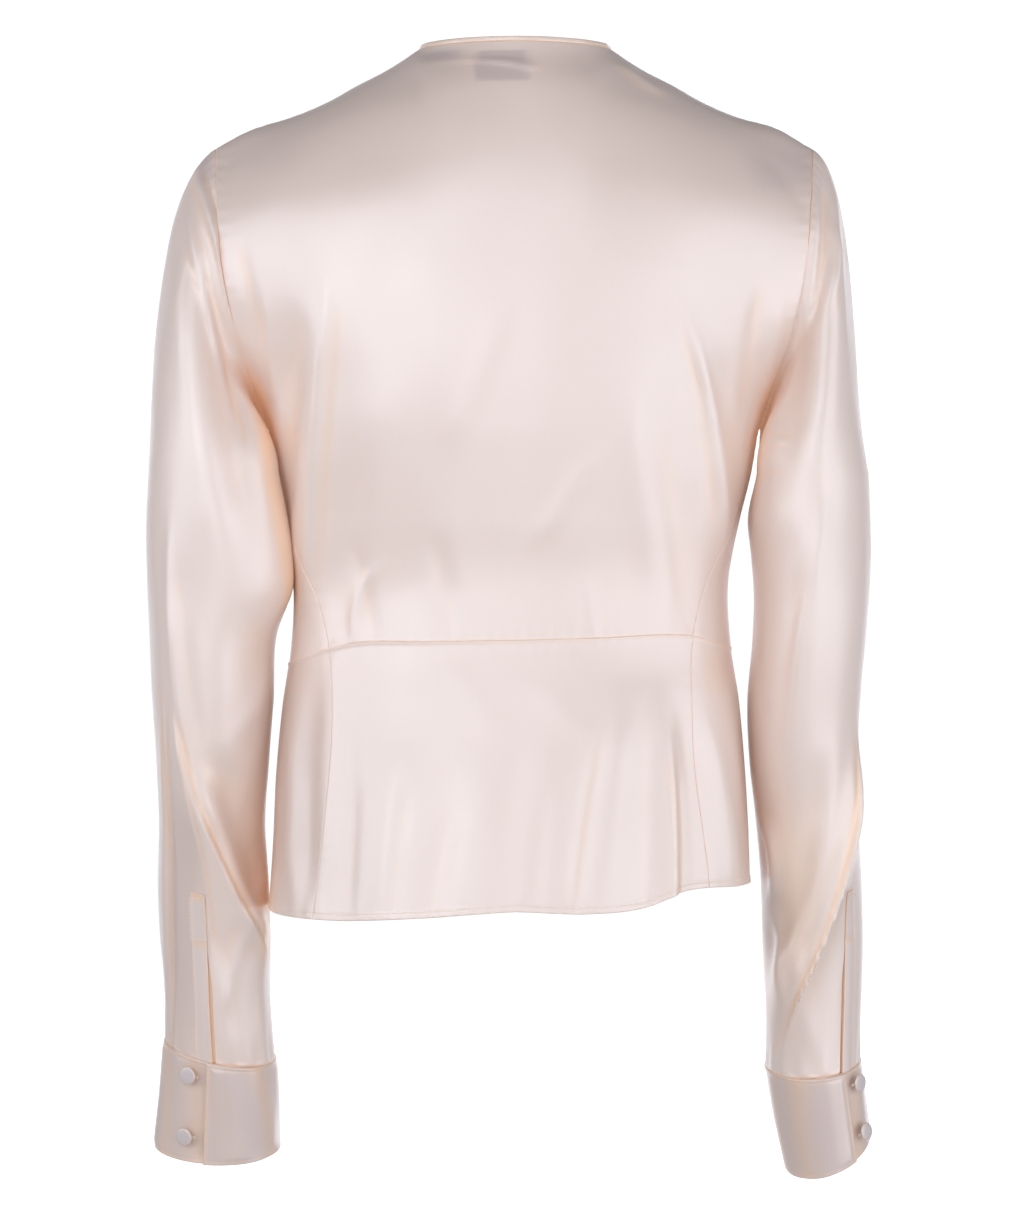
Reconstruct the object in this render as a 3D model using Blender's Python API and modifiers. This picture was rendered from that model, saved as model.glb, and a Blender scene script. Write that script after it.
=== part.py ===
"""Silk blouse, filled out as when it is worn, with nobody in it.

A plain satin blouse: one-piece back and front bodices, a waist seam, a two-piece peplum,
set-in long sleeves with boxed plackets, and deep cuffs with two covered buttons each.
+Z is up, +X is the wearer's left and -Y the wearer's front. The origin is the centre of
the neck, level with the points where the shoulder seams meet the neckline.

All tables are in millimetres. "drop" is the distance below the origin.
"""
from collections import namedtuple

import bpy
import numpy as np
from mathutils import Vector

MM = 0.001
NAME = "silk_blouse"

# --- cloth -----------------------------------------------------------------------------
WALL = 1.3              # bodice, peplum and sleeve cloth
CUFF_WALL = 2.0         # two layers and an interlining
BINDING_WALL = 1.8
BINDING_HEIGHT = 3.5
BINDING_LIFT = 0.8      # how far the back of the binding stands up from the cloth's slope
TRIM_WALL = 1.0         # placket strips and the label
LABEL_GAP = 0.5         # between the label and the bodice
SEAM = 0.3              # space between two pieces that are sewn together
SHARP = 50              # edges sharper than this, in degrees, aren't shaded smooth

# --- grid ------------------------------------------------------------------------------
COLUMNS = {"back": 18, "front": 15}        # from the centre to the side
NECK_COLUMNS = {"back": 6, "front": 7}     # of those, from the centre to the neck point
PEPLUM_ROWS = 8
LOWER_ROWS = 7                             # waist seam to underarm
ARMHOLE_ROWS = 11                          # underarm to shoulder
DENSE = 200                                # samples of a line that is cut into equal lengths

# --- torso: one row for each level -----------------------------------------------------
UNDERARM = 242.0
WAIST = 379.0
SQUARENESS = 2.3                           # 2 is an ellipse
Level = namedtuple("Level", "drop left right back front")
TORSO = [
    Level(180, 178.0, 175.0, 108.0, 120.0),
    Level(242, 157.5, 155.5, 103.0, 121.0),
    Level(270, 153.5, 151.0, 98.0, 115.0),
    Level(300, 147.7, 143.8, 92.0, 106.0),
    Level(345, 141.6, 136.4, 84.0, 98.0),
    Level(379, 143.2, 138.0, 86.0, 99.0),
    Level(415, 148.0, 143.0, 93.0, 103.0),
    Level(453, 151.7, 146.5, 100.5, 106.0),
    Level(492, 154.0, 149.0, 106.5, 109.5),
    Level(560, 158.0, 152.0, 113.0, 112.5),
]
# angle round the torso (0 centre back, 90 side, 180 centre front) of the side seams
SideSeam = namedtuple("SideSeam", "drop angle")
SIDE_SEAM = [SideSeam(242, 90), SideSeam(300, 72), SideSeam(379, 52.4), SideSeam(560, 51.3)]
# the waist seam and the hem rise and fall round the torso
Edge = namedtuple("Edge", "angle left right")
WAIST_SEAM = [
    Edge(0, 376.0, 376.0), Edge(20, 377.0, 374.5), Edge(40, 377.5, 372.6),
    Edge(52, 381.5, 373.4), Edge(65, 387.0, 377.5), Edge(90, 391.0, 381.0),
    Edge(130, 388.0, 383.0), Edge(180, 384.5, 384.5),
]
HEM = [
    Edge(0, 543.5, 543.5), Edge(15, 547.0, 545.0), Edge(30, 549.5, 541.0),
    Edge(38, 550.2, 534.5), Edge(66, 549.5, 531.0), Edge(90, 547.0, 531.0), Edge(130, 545.0, 537.0),
    Edge(180, 543.0, 543.0),
]

# --- upper bodice: each section runs from the centre, by half of the neck's columns, the
# neck column and the middle of the shoulder, to the armhole, as (x, depth, drop) --------
Section = namedtuple("Section", "reach centre half neck middle edge")
UPPER_BACK = [
    Section(57, (0, 107.5, 190), (35, 106, 190), (66, 101, 190), (120, 83, 189), (174, 42, 188)),
    Section(107, (0, 105, 135), (36, 104, 136), (64, 100, 137), (124, 84, 142), (183, 52, 150)),
    Section(160, (0, 93, 76), (38, 92, 77), (63, 88, 80), (126, 74, 92), (188, 44, 108)),
    Section(205, (0, 77, 32), (40, 73, 32), (63, 62, 32), (126, 46, 52), (190, 24, 78)),
]
UPPER_FRONT = [
    Section(57, (0, 121.5, 224), (50, 117, 205), (90, 108, 190), (128, 86, 196), (160, 44, 195)),
    Section(107, (0, 119.5, 204), (53, 110, 165), (82, 95, 132), (127, 84, 150), (165, 52, 155)),
    Section(160, (0, 116.5, 186), (54, 98, 128), (73, 66, 68), (126, 66, 98), (174, 46, 112)),
    Section(205, (0, 114, 171), (46.5, 88, 107), (66, 30, 22), (125, 30, 50), (185, 26, 80)),
]
TOP_REACH = 250.0
LEAD_IN = 57.0             # how far below the underarm the sections' curves start
# the way the cloth arrives at the neck and over the shoulder, as (x, forward, up)
NECK_RISE, SHOULDER_LEVEL = (0, 0.33, 0.94), (0, 1, 0)
ARRIVAL = 1.15             # its speed there, over the plain distance
TIP_X = {"left": 191.5, "right": 190.0}    # shoulder tips
NECK_X, NECK_Y = 62.0, 5.0                 # where a shoulder seam meets the neckline
BACK_NECK_Y, BACK_NECK_RISE = 61.0, -0.5
NECK_DEPTH = 170.0                         # front to back
NeckPoint = namedtuple("NeckPoint", "x y drop")
FRONT_NECKLINE = [
    NeckPoint(0, -112, 160), NeckPoint(14, -107.5, 149), NeckPoint(29, -92, 116),
    NeckPoint(44, -67, 71), NeckPoint(55, -35, 25), NeckPoint(62, 5, 0),
]
Shoulder = namedtuple("Shoulder", "x drop")
SHOULDER = [
    Shoulder(62, 0), Shoulder(79, 11), Shoulder(100, 21.8), Shoulder(118, 31.8),
    Shoulder(140.5, 41.5), Shoulder(171, 51), Shoulder(191.5, 62),
]

# --- sleeves: one row for each ring ----------------------------------------------------
# roll lifts the outer side and pitch drops the back side, in degrees
Ring = namedtuple("Ring", "drop outer inner y depth roll pitch")
SLEEVES = {
    "left": [
        Ring(270, 234.0, 156.4, 6, 58, 0, 0), Ring(300, 235.0, 150.4, 7, 57, 0, 0),
        Ring(322, 235.0, 146.4, 7, 55.5, 0, 0), Ring(345, 234.8, 144.2, 6, 54, 0, 0),
        Ring(372, 234.0, 152.0, 4, 52, 0, 0), Ring(415, 232.0, 154.5, 0, 49.5, 0, 1),
        Ring(453, 230.0, 157.5, -5, 47, 0, 3), Ring(491, 228.5, 160.5, -12, 45, 0, 5),
        Ring(530, 229.5, 158.3, -18.5, 43.5, 0, 6), Ring(566, 229.0, 157.6, -25, 42, 2, 8),
        Ring(602, 226.8, 158.0, -30, 40.5, 6, 9.5),
    ],
    "right": [
        Ring(270, 225.3, 154.4, 6, 59, 0, 0), Ring(300, 226.5, 148.4, 7, 58, 0, 0),
        Ring(322, 227.0, 150.5, 7, 56.5, 0, 0), Ring(345, 226.5, 152.5, 6, 55, 0, 0),
        Ring(380, 224.0, 151.5, 4, 53, 0, 0), Ring(415, 221.0, 148.8, 0, 51, 0, 1),
        Ring(453, 219.0, 150.0, -5, 49, 0, 3), Ring(491, 220.0, 154.5, -12, 48, 0, 5),
        Ring(530, 222.8, 158.0, -18.5, 46, 0, 6), Ring(566, 224.2, 159.8, -25, 45, 1, 7.5),
        Ring(602, 223.8, 162.0, -30, 44, 3, 9),
    ],
}
CAP_STEPS = (0, 0.08, 0.2, 0.36, 0.56, 0.78)     # armhole to the first ring
SLEEVE_DROPS = (270, 300, 330, 362, 397, 432, 466, 500, 530, 548, 566, 588, 610)
UNDERARM_PUSH = 0.55                       # keeps the sleeve off the side of the bodice
UNDERARM_SPAN = 40.0                       # where along the armhole it does so
CAP_LEAVE = {"left": 0.6, "right": 0.46}   # how full the cap leaves the armhole
CAP_SPREAD = {"left": 0.03, "right": 0.17} # how much its outer side still widens at the first ring

# --- cuffs -----------------------------------------------------------------------------
CuffRing = namedtuple("CuffRing", "x y drop width depth roll pitch")
CUFFS = {
    "left": (CuffRing(190.8, -35.0, 640.3, 36.8, 38.5, 10.3, 10.8),
             CuffRing(193.3, -47.0, 704.5, 41.3, 37.0, 1.5, 14.0)),
    "right": (CuffRing(192.6, -35.0, 649.0, 31.3, 43.5, 5.0, 9.5),
              CuffRing(203.0, -47.0, 707.5, 29.8, 44.5, 20.0, 15.0)),
}
SLEEVE_INSET = 0.6                         # the sleeve's last ring is inside the cuff's
CUFF_STEPS = 32                            # columns in one turn
UNDERLAP_STEPS = 3
OVERLAP_LIFT = CUFF_WALL + 0.35            # outer layer over the underlap
LIFT_FROM = 320.0                          # degrees into the turn where the outer layer rises
# the cuff opening: angles round the ring, 0 outer side, 90 back
Opening = namedtuple("Opening", "edge button slit strip")
OPENINGS = {"left": Opening(80.5, 63.7, 86.0, 67.5), "right": Opening(56.0, 40.0, 57.0, 38.0)}
SLIT_TOP, SLIT_GAP = 566.0, 3.5
STRIP_TOP = 530.0
SLIT_COLUMN = {"left": 6, "right": 4}      # sleeve column that the slit follows
SHIFT_FROM, SHIFT_TO = 400.0, 520.0        # where the columns slide over to the placket
BUTTON_HEIGHTS = {"upper": 0.16, "lower": 0.74}   # share of the cuff's height, from its top
BUTTON_PROFILE = [                         # (radius, height) above the cuff, top to bottom
    (0.0, 3.9), (3.6, 3.6), (5.7, 2.5), (5.4, 1.4), (2.2, 1.2), (2.2, 0.0), (0.0, 0.0),
]
BUTTON_STEPS = 16

# --- label -----------------------------------------------------------------------------
LABEL_X = (-8.0, 24.5)
LABEL_REACH = (227.0, 246.0)               # along the back, as in the section tables
LABEL_COLUMNS, LABEL_ROWS = 4, 2

# --- folds: each runs down the cloth through three points (x, drop) --------------------
Fold = namedtuple("Fold", "x_top top x_middle middle x_end end width height")
FOLDS = {
    ("bodice", "back"): [
        Fold(118, 128, 125, 210, 141, 385, 12, 4.5), Fold(132, 150, 138, 215, 149, 330, 10, -3.0),
        Fold(-102, 158, -123, 232, -134, 345, 12, 4.0), Fold(-116, 190, -135, 250, -140, 330, 9, -2.5),
        Fold(79, 195, 88, 255, 104, 390, 14, 2.5), Fold(-64, 195, -77, 255, -102, 385, 14, 2.5),
        Fold(95, 230, 100, 290, 116, 400, 10, -2.0), Fold(-90, 230, -98, 290, -113, 400, 10, -2.0),
    ],
    ("bodice", "front"): [
        Fold(112, 150, 118, 230, 134, 385, 14, 4.0), Fold(-108, 160, -117, 240, -130, 385, 14, 4.0),
        Fold(62, 240, 74, 310, 92, 400, 14, 2.5), Fold(-66, 235, -76, 305, -95, 400, 14, 2.5),
    ],
    ("peplum", "back"): [
        Fold(-76, 385, -63, 458, -48, 570, 13, 4.0), Fold(-90, 400, -97, 485, -94, 575, 9, 5.0),
        Fold(-103, 430, -109, 490, -108, 575, 8, -4.5), Fold(-111, 392, -124, 440, -137, 560, 11, 3.0),
        Fold(104, 400, 107, 480, 112, 575, 10, -2.5), Fold(70, 420, 74, 490, 80, 575, 14, 2.5),
        Fold(-22, 430, -14, 500, -10, 575, 14, 2.0), Fold(20, 430, 24, 500, 28, 575, 15, 2.0),
    ],
    ("peplum", "front"): [
        Fold(110, 395, 118, 470, 128, 575, 14, 3.5), Fold(58, 400, 62, 480, 66, 575, 15, 3.0),
        Fold(2, 420, 5, 490, 6, 575, 15, 2.5), Fold(-52, 400, -58, 480, -60, 575, 15, 3.0),
        Fold(-106, 395, -116, 470, -124, 575, 14, 3.5),
    ],
    ("sleeve_left", "back"): [
        Fold(206, 105, 190, 185, 160, 330, 10, -3.0), Fold(214, 120, 201, 210, 176, 360, 12, 3.5),
        Fold(218, 300, 210, 420, 196, 545, 12, 4.0), Fold(199, 455, 187, 515, 158, 590, 12, 6.0),
        Fold(186, 440, 172, 500, 150, 560, 11, -5.0), Fold(176, 560, 178, 600, 180, 655, 12, 3.0),
    ],
    ("sleeve_left", "front"): [
        Fold(212, 110, 200, 200, 176, 330, 13, 3.5), Fold(200, 330, 196, 440, 190, 560, 14, 3.5),
        Fold(175, 430, 190, 520, 205, 620, 13, -3.5),
    ],
    ("sleeve_right", "back"): [
        Fold(-203, 95, -199, 165, -183, 300, 11, 3.5), Fold(-188, 110, -180, 180, -162, 300, 10, -3.0),
        Fold(-197, 275, -184, 370, -166, 480, 13, 3.5), Fold(-214, 415, -202, 505, -160, 640, 12, 6.0),
        Fold(-196, 440, -184, 520, -152, 600, 11, -5.0), Fold(-166, 480, -174, 540, -172, 630, 10, 3.0),
    ],
    ("sleeve_right", "front"): [
        Fold(-208, 110, -196, 200, -170, 330, 13, 3.5), Fold(-196, 330, -190, 440, -186, 560, 14, 3.5),
        Fold(-170, 430, -186, 520, -200, 620, 13, -3.5),
    ],
}
FOLD_FADE = 0.3                            # share of a fold's length over which it dies away
FACING = 0.55                              # how squarely cloth faces back or front for a full fold

# --- colours: base colour, roughness ---------------------------------------------------
SATIN = ((0.74, 0.58, 0.53, 1), 0.34)
BACKING = ((0.62, 0.52, 0.47, 1), 0.6)
BUTTON_SATIN = ((0.66, 0.52, 0.47, 1), 0.38)


# ========================================================================================
# curves and surfaces
# ========================================================================================
def column(rows, name):
    return np.array([getattr(row, name) for row in rows], float)


def unit(vectors):
    return vectors / np.linalg.norm(vectors, axis=-1, keepdims=True)


def smoothstep(value):
    value = np.clip(value, 0, 1)
    return value * value * (3 - 2 * value)


def spline(knots, values, at, end_slope=None):
    """Smooth curve through values at rising knots, read at the given places."""
    knots, values = np.asarray(knots, float), np.asarray(values, float)
    at = np.clip(np.asarray(at, float), knots[0], knots[-1])
    wide = (-1,) + (1,) * (values.ndim - 1)
    steps = np.diff(knots).reshape(wide)
    slopes = np.diff(values, axis=0) / steps
    tangents = np.empty_like(values)
    tangents[0], tangents[-1] = slopes[0], slopes[-1]
    tangents[1:-1] = (slopes[:-1] * steps[1:] + slopes[1:] * steps[:-1]) / (steps[:-1] + steps[1:])
    if end_slope is not None:
        tangents[-1] = end_slope
    index = np.clip(np.searchsorted(knots, at, side="right") - 1, 0, len(knots) - 2)
    step = np.diff(knots)[index]
    t = ((at - knots[index]) / step).reshape(at.shape + (1,) * (values.ndim - 1))
    step = step.reshape(t.shape)
    return ((2 * t**3 - 3 * t**2 + 1) * values[index] + (t**3 - 2 * t**2 + t) * step * tangents[index]
            + (3 * t**2 - 2 * t**3) * values[index + 1] + (t**3 - t**2) * step * tangents[index + 1])


def even_places(points, count):
    """Places 0 to 1 along a line of points that cut it into equal lengths."""
    lengths = np.r_[0, np.cumsum(np.linalg.norm(np.diff(points, axis=0), axis=1))]
    return np.interp(np.linspace(0, lengths[-1], count + 1), lengths, np.linspace(0, 1, len(points)))


def fold_height(folds, x, drop):
    """Height of the folds over the plain surface."""
    total = np.zeros_like(x)
    for fold in folds:
        near, far = fold.middle - fold.top, fold.end - fold.middle
        first = (fold.x_middle - fold.x_top) / near
        second = ((fold.x_end - fold.x_middle) / far - first) / (fold.end - fold.top)
        path = fold.x_top + (drop - fold.top) * (first + second * (drop - fold.middle))
        slope = first + second * (2 * drop - fold.top - fold.middle)
        away = (x - path) / np.sqrt(1 + slope**2)
        along = (drop - fold.top) / (fold.end - fold.top)
        fade = smoothstep(along / FOLD_FADE) * smoothstep((1 - along) / FOLD_FADE)
        total += fold.height * np.exp(-((away / fold.width) ** 2)) * fade
    return total


class Cloth:
    """A surface of cloth: a grid of outer points and four-sided faces that look outward."""

    def __init__(self, kind, points, faces, face=None, shape=None):
        self.kind, self.face, self.shape = kind, face, shape
        self.points = points.reshape(-1, 3).astype(float)
        self.faces = faces
        self.normals = None

    def crease(self):
        """Move the points out and in by the folds on the back and on the front."""
        x, drop = self.points[:, 0], -self.points[:, 2]
        facing = self.normals[:, 1] / FACING
        lift = fold_height(FOLDS[(self.kind, "back")], x, drop) * smoothstep(facing)
        lift += fold_height(FOLDS[(self.kind, "front")], x, drop) * smoothstep(-facing)
        self.points = self.points + self.normals * lift[:, None]


def share_normals(cloths):
    """Smooth outward normals; points of joined pieces that coincide share one normal."""
    starts = np.cumsum([0] + [len(cloth.points) for cloth in cloths])
    points = np.concatenate([cloth.points for cloth in cloths])
    rounded = points.round(4) + 0.0        # so that no zero is a minus zero
    _, place = np.unique(rounded, axis=0, return_inverse=True)
    place = place.reshape(-1)
    faces = np.concatenate([cloth.faces + start for cloth, start in zip(cloths, starts)])
    corners = points[faces]
    flat = np.cross(corners[:, 2] - corners[:, 0], corners[:, 3] - corners[:, 1])
    total = np.zeros((place.max() + 1, 3))
    for corner in range(4):
        np.add.at(total, place[faces[:, corner]], flat)
    normals = unit(total)[place]
    for cloth, start in zip(cloths, starts):
        cloth.normals = normals[start:start + len(cloth.points)]


def grid_faces(rows, columns, closed=False, turned=False):
    """Four-sided faces of a grid of points, row by row; closed joins its last column to its first."""
    faces = []
    for row in range(rows - 1):
        for place in range(columns if closed else columns - 1):
            beside = (place + 1) % columns
            low, high = row * columns, (row + 1) * columns
            face = [low + place, low + beside, high + beside, high + place]
            faces.append(face[::-1] if turned else face)
    return np.array(faces)


# ========================================================================================
# objects
# ========================================================================================
def material(name, finish):
    colour, roughness = finish
    made = bpy.data.materials.new(name)
    made.use_nodes = True
    shader = made.node_tree.nodes["Principled BSDF"]
    shader.inputs["Base Color"].default_value = colour
    shader.inputs["Roughness"].default_value = roughness
    shader.inputs["Metallic"].default_value = 0.0
    made.diffuse_color = colour
    return made


def add_object(name, mesh, finish):
    thing = bpy.data.objects.new(name, mesh)
    thing.data.materials.append(material(name, finish))
    bpy.data.collections[NAME].objects.link(thing)
    return thing


def add_wall(name, outer, inner, faces, finish=SATIN):
    """A closed wall: the outer skin, the inner skin, and rims round every open edge."""
    count = len(outer)
    triangles = []
    for a, b, c, d in faces.tolist():
        if np.linalg.norm(outer[a] - outer[c]) > np.linalg.norm(outer[b] - outer[d]):
            a, b, c, d = b, c, d, a
        triangles += [(a, b, c), (a, c, d)]
        triangles += [(count + a, count + c, count + b), (count + a, count + d, count + c)]
    sides = {(face[i], face[(i + 1) % 4]) for face in faces.tolist() for i in range(4)}
    for start, end in sorted(sides):
        if (end, start) not in sides:
            triangles += [(end, start, count + start), (end, count + start, count + end)]
    mesh = bpy.data.meshes.new(name)
    mesh.from_pydata((np.concatenate([outer, inner]) * MM).tolist(), [], triangles)
    mesh.validate()
    mesh.shade_smooth()
    mesh.set_sharp_from_angle(angle=np.radians(SHARP))
    return add_object(name, mesh, finish)


# ========================================================================================
# torso
# ========================================================================================
def torso_points(angles, drops, side):
    """Points on the torso at angles round it (degrees) and drops (mm)."""
    levels = column(TORSO, "drop")
    sine = np.abs(np.sin(np.radians(angles))) ** (2 / SQUARENESS)
    cosine = np.abs(np.cos(np.radians(angles))) ** (2 / SQUARENESS)
    x = spline(levels, column(TORSO, side), drops) * sine
    back = spline(levels, column(TORSO, "back"), drops) * cosine
    front = spline(levels, column(TORSO, "front"), drops) * cosine
    y = np.where(angles <= 90, back, -front)
    return np.stack([x if side == "left" else -x, y, -drops], axis=-1)


def edge_drop(table, angles, side):
    return spline(column(table, "angle"), column(table, side), angles)


def level_angles(face, drop):
    """Angles of a level's points, from the centre to the side seam, evenly spaced."""
    seam = spline(column(SIDE_SEAM, "drop"), column(SIDE_SEAM, "angle"), drop)
    dense = np.linspace(0 if face == "back" else 180, seam, DENSE)
    places = even_places(torso_points(dense, np.full(DENSE, drop), "left"), COLUMNS[face])
    return dense[0] + (dense[-1] - dense[0]) * places


def peplum_half(face, side):
    rows = []
    for share in np.linspace(1, 0, PEPLUM_ROWS + 1):
        angles = level_angles(face, WAIST + share * (HEM[0].left - WAIST))
        waist, hem = edge_drop(WAIST_SEAM, angles, side), edge_drop(HEM, angles, side)
        rows.append(torso_points(angles, waist + share * (hem - waist), side))
    return np.array(rows)


def lower_half(face, side):
    """The bodice from the waist seam up to the underarm."""
    rows = []
    for share in np.linspace(1, 0, LOWER_ROWS + 1):
        angles = level_angles(face, UNDERARM + share * (WAIST - UNDERARM))
        waist = edge_drop(WAIST_SEAM, angles, side)
        rows.append(torso_points(angles, UNDERARM + share * (waist - UNDERARM), side))
    return np.array(rows)


def neckline(face):
    """Half of the neckline, from its centre to the neck point."""
    if face == "front":
        along = np.linspace(0, len(FRONT_NECKLINE) - 1, NECK_COLUMNS[face] + 1)
        points = np.array(FRONT_NECKLINE) * (1, 1, -1)
        return spline(np.arange(len(points)), points, along)
    turn = np.linspace(0, np.pi / 2, NECK_COLUMNS[face] + 1)
    y = NECK_Y + (BACK_NECK_Y - NECK_Y) * np.cos(turn)
    return np.stack([NECK_X * np.sin(turn), y, BACK_NECK_RISE * np.cos(turn)], axis=-1)


def top_row(face, side):
    """Neckline, then shoulder seam, from the centre to the shoulder tip."""
    neck = neckline(face)
    count = COLUMNS[face] - NECK_COLUMNS[face]
    x = np.linspace(NECK_X, SHOULDER[-1].x, count + 1)[1:]
    drop = spline(column(SHOULDER, "x"), column(SHOULDER, "drop"), x)
    y = NECK_Y * (x[-1] - x) / (x[-1] - NECK_X)
    seam = np.stack([x * np.where(x == x[-1], TIP_X[side] / x[-1], 1), y, -drop], axis=-1)
    return np.concatenate([neck, seam])


def section_row(section, face, side):
    """One section across half of the upper bodice, read at every column."""
    neck_at = NECK_COLUMNS[face] / COLUMNS[face]
    knots = (-neck_at / 2, 0, neck_at / 2, neck_at, (1 + neck_at) / 2, 1)
    points = np.array((section.half,) + section[1:], float)
    points[0, 0] *= -1
    points[-2:, 0] *= TIP_X[side] / TIP_X["left"]
    points[:, 2] *= -1
    if face == "front":
        points[:, 1] *= -1
    return spline(knots, points, np.linspace(0, 1, COLUMNS[face] + 1))


def top_slopes(face, below, top):
    """How the cloth arrives at the top edge: level over the shoulder, rising at the neck."""
    count = NECK_COLUMNS[face]
    share = np.minimum(np.arange(len(top)) / count, 1) ** 2
    forward = np.array([1, -1 if face == "back" else 1, 1])
    rising, level = forward * NECK_RISE, forward * SHOULDER_LEVEL
    way = unit(rising + (level - rising) * share[:, None])
    speed = np.linalg.norm(top - below, axis=1) / (TOP_REACH - UPPER_BACK[-1].reach)
    return way * ARRIVAL * speed[:, None]


def upper_half(face, side, reaches):
    """The bodice above the underarm, at distances up from the underarm row."""
    table = UPPER_BACK if face == "back" else UPPER_FRONT
    mirror = np.array([-1 if side == "right" else 1, 1, 1])
    low, base = (torso_points(level_angles(face, drop), np.full(COLUMNS[face] + 1, drop), side)
                 for drop in (UNDERARM + LEAD_IN, UNDERARM))
    sections = [section_row(section, face, side) * mirror for section in table]
    top = top_row(face, side) * mirror
    knots = [-LEAD_IN, 0] + [section.reach for section in table] + [TOP_REACH]
    return spline(knots, [low, base] + sections + [top], reaches, top_slopes(face, sections[-1], top))


def bodice_half(face, side):
    reaches = np.linspace(0, TOP_REACH, ARMHOLE_ROWS + 1)[1:]
    return np.concatenate([lower_half(face, side), upper_half(face, side, reaches)])


def whole_panel(half, kind, face):
    """Both halves of a panel side by side, from the right edge to the left edge."""
    points = np.concatenate([half(face, "right")[:, :0:-1], half(face, "left")], axis=1)
    faces = grid_faces(points.shape[0], points.shape[1], turned=face == "back")
    return Cloth(kind, points, faces, face, points.shape[:2])


def level_shoulder_normals(bodice):
    """On the shoulder seams both panels lie level from back to front."""
    normals = bodice.normals.reshape(bodice.shape + (3,))
    seam = shoulder_columns(bodice)
    normals[-1, seam, 1] = 0
    normals[-1, seam] = unit(normals[-1, seam])


def open_seams(cloth, side_rows, top, bottom):
    """A panel's points, drawn back by half a seam along its sides and the top and bottom seams."""
    points = cloth.points.reshape(cloth.shape + (3,))
    away = np.zeros_like(points)
    away[:side_rows, 0] += unit(points[:side_rows, 1] - points[:side_rows, 0])
    away[:side_rows, -1] += unit(points[:side_rows, -2] - points[:side_rows, -1])
    away[0, bottom] += unit(points[1, bottom] - points[0, bottom])
    away[-1, top] += unit(points[-2, top] - points[-1, top])
    return (points + away * SEAM / 2).reshape(-1, 3)


def shoulder_columns(bodice):
    """The columns of a bodice that end in its shoulder seams."""
    return np.abs(np.arange(bodice.shape[1]) - COLUMNS[bodice.face]) >= NECK_COLUMNS[bodice.face]


def build_torso():
    """The four panels; returns the bodices for what is sewn to them."""
    bodices = {face: whole_panel(bodice_half, "bodice", face) for face in ("back", "front")}
    peplums = {face: whole_panel(peplum_half, "peplum", face) for face in ("back", "front")}
    everything = [*bodices.values(), *peplums.values()]
    share_normals(everything)
    for cloth in everything:
        cloth.crease()
    share_normals(everything)
    nowhere, everywhere = slice(0, 0), slice(None)
    for face, cloth in bodices.items():
        level_shoulder_normals(cloth)
        outer = open_seams(cloth, LOWER_ROWS + 1, shoulder_columns(cloth), everywhere)
        add_wall(face + "_bodice", outer, outer - cloth.normals * WALL, cloth.faces)
    for face, cloth in peplums.items():
        outer = open_seams(cloth, PEPLUM_ROWS + 1, everywhere, nowhere)
        add_wall(face + "_peplum", outer, outer - cloth.normals * WALL, cloth.faces)
    return bodices


# ========================================================================================
# sleeves
# ========================================================================================
def tilted_ring(centre, width, depth, roll, pitch, angles, side):
    """Points of a ring; angle 0 is its outer side and 90 its back."""
    sign = 1 if side == "left" else -1
    roll, pitch, angles = np.radians(roll), np.radians(pitch), np.radians(angles)
    across = np.array([sign * np.cos(roll), 0, np.sin(roll)])
    back = np.array([0, np.cos(pitch), -np.sin(pitch)])
    centre = np.array([sign * centre[0], centre[1], centre[2]])
    return centre + np.outer(width * np.cos(angles), across) + np.outer(depth * np.sin(angles), back)


def sleeve_rings(side):
    """The sleeve's table, ended by a ring just above the cuff."""
    cuff = CUFFS[side][0]
    reach = cuff.width - SLEEVE_INSET
    last = Ring(cuff.drop - SEAM, cuff.x + reach, cuff.x - reach, cuff.y, cuff.depth - SLEEVE_INSET,
                cuff.roll, cuff.pitch)
    return SLEEVES[side] + [last]


def sleeve_ring(side, drop, angles):
    rings = sleeve_rings(side)
    drops = column(rings, "drop")
    outer, inner, y, depth, roll, pitch = (
        spline(drops, column(rings, name), drop)
        for name in ("outer", "inner", "y", "depth", "roll", "pitch"))
    centre = ((outer + inner) / 2, y, -drop)
    return tilted_ring(centre, (outer - inner) / 2, depth, roll, pitch, angles, side)


def armhole(bodices, side):
    """Points and normals round an armhole: tip, down the back, underarm, up the front."""
    edge = -1 if side == "left" else 0
    lines = {}
    for face, cloth in bodices.items():
        points = cloth.points.reshape(cloth.shape + (3,))[LOWER_ROWS:, edge]
        normals = cloth.normals.reshape(cloth.shape + (3,))[LOWER_ROWS:, edge]
        lines[face] = np.concatenate([points, normals], axis=1)
    ring = np.concatenate([lines["back"][::-1], lines["front"][1:-1]])
    return ring[:, :3], ring[:, 3:]


def column_angles(points, drop, side):
    """Angles of the sleeve's columns, which slide over to the placket lower down."""
    steps = np.linalg.norm(np.diff(points, axis=0, append=points[:1]), axis=1)
    back = np.r_[0, np.cumsum(steps[:ARMHOLE_ROWS])]
    front = np.r_[0, np.cumsum(steps[ARMHOLE_ROWS:])]
    plain = np.r_[180 * back / back[-1], 180 + 180 * front[1:-1] / front[-1]]
    opening, slit = OPENINGS[side], SLIT_COLUMN[side]
    moved = plain.copy()
    moved[slit - 2:slit + 1] = np.linspace(opening.strip, opening.slit, 3)
    share = smoothstep((drop - SHIFT_FROM) / (SHIFT_TO - SHIFT_FROM))
    return plain + (moved - plain) * share


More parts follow.
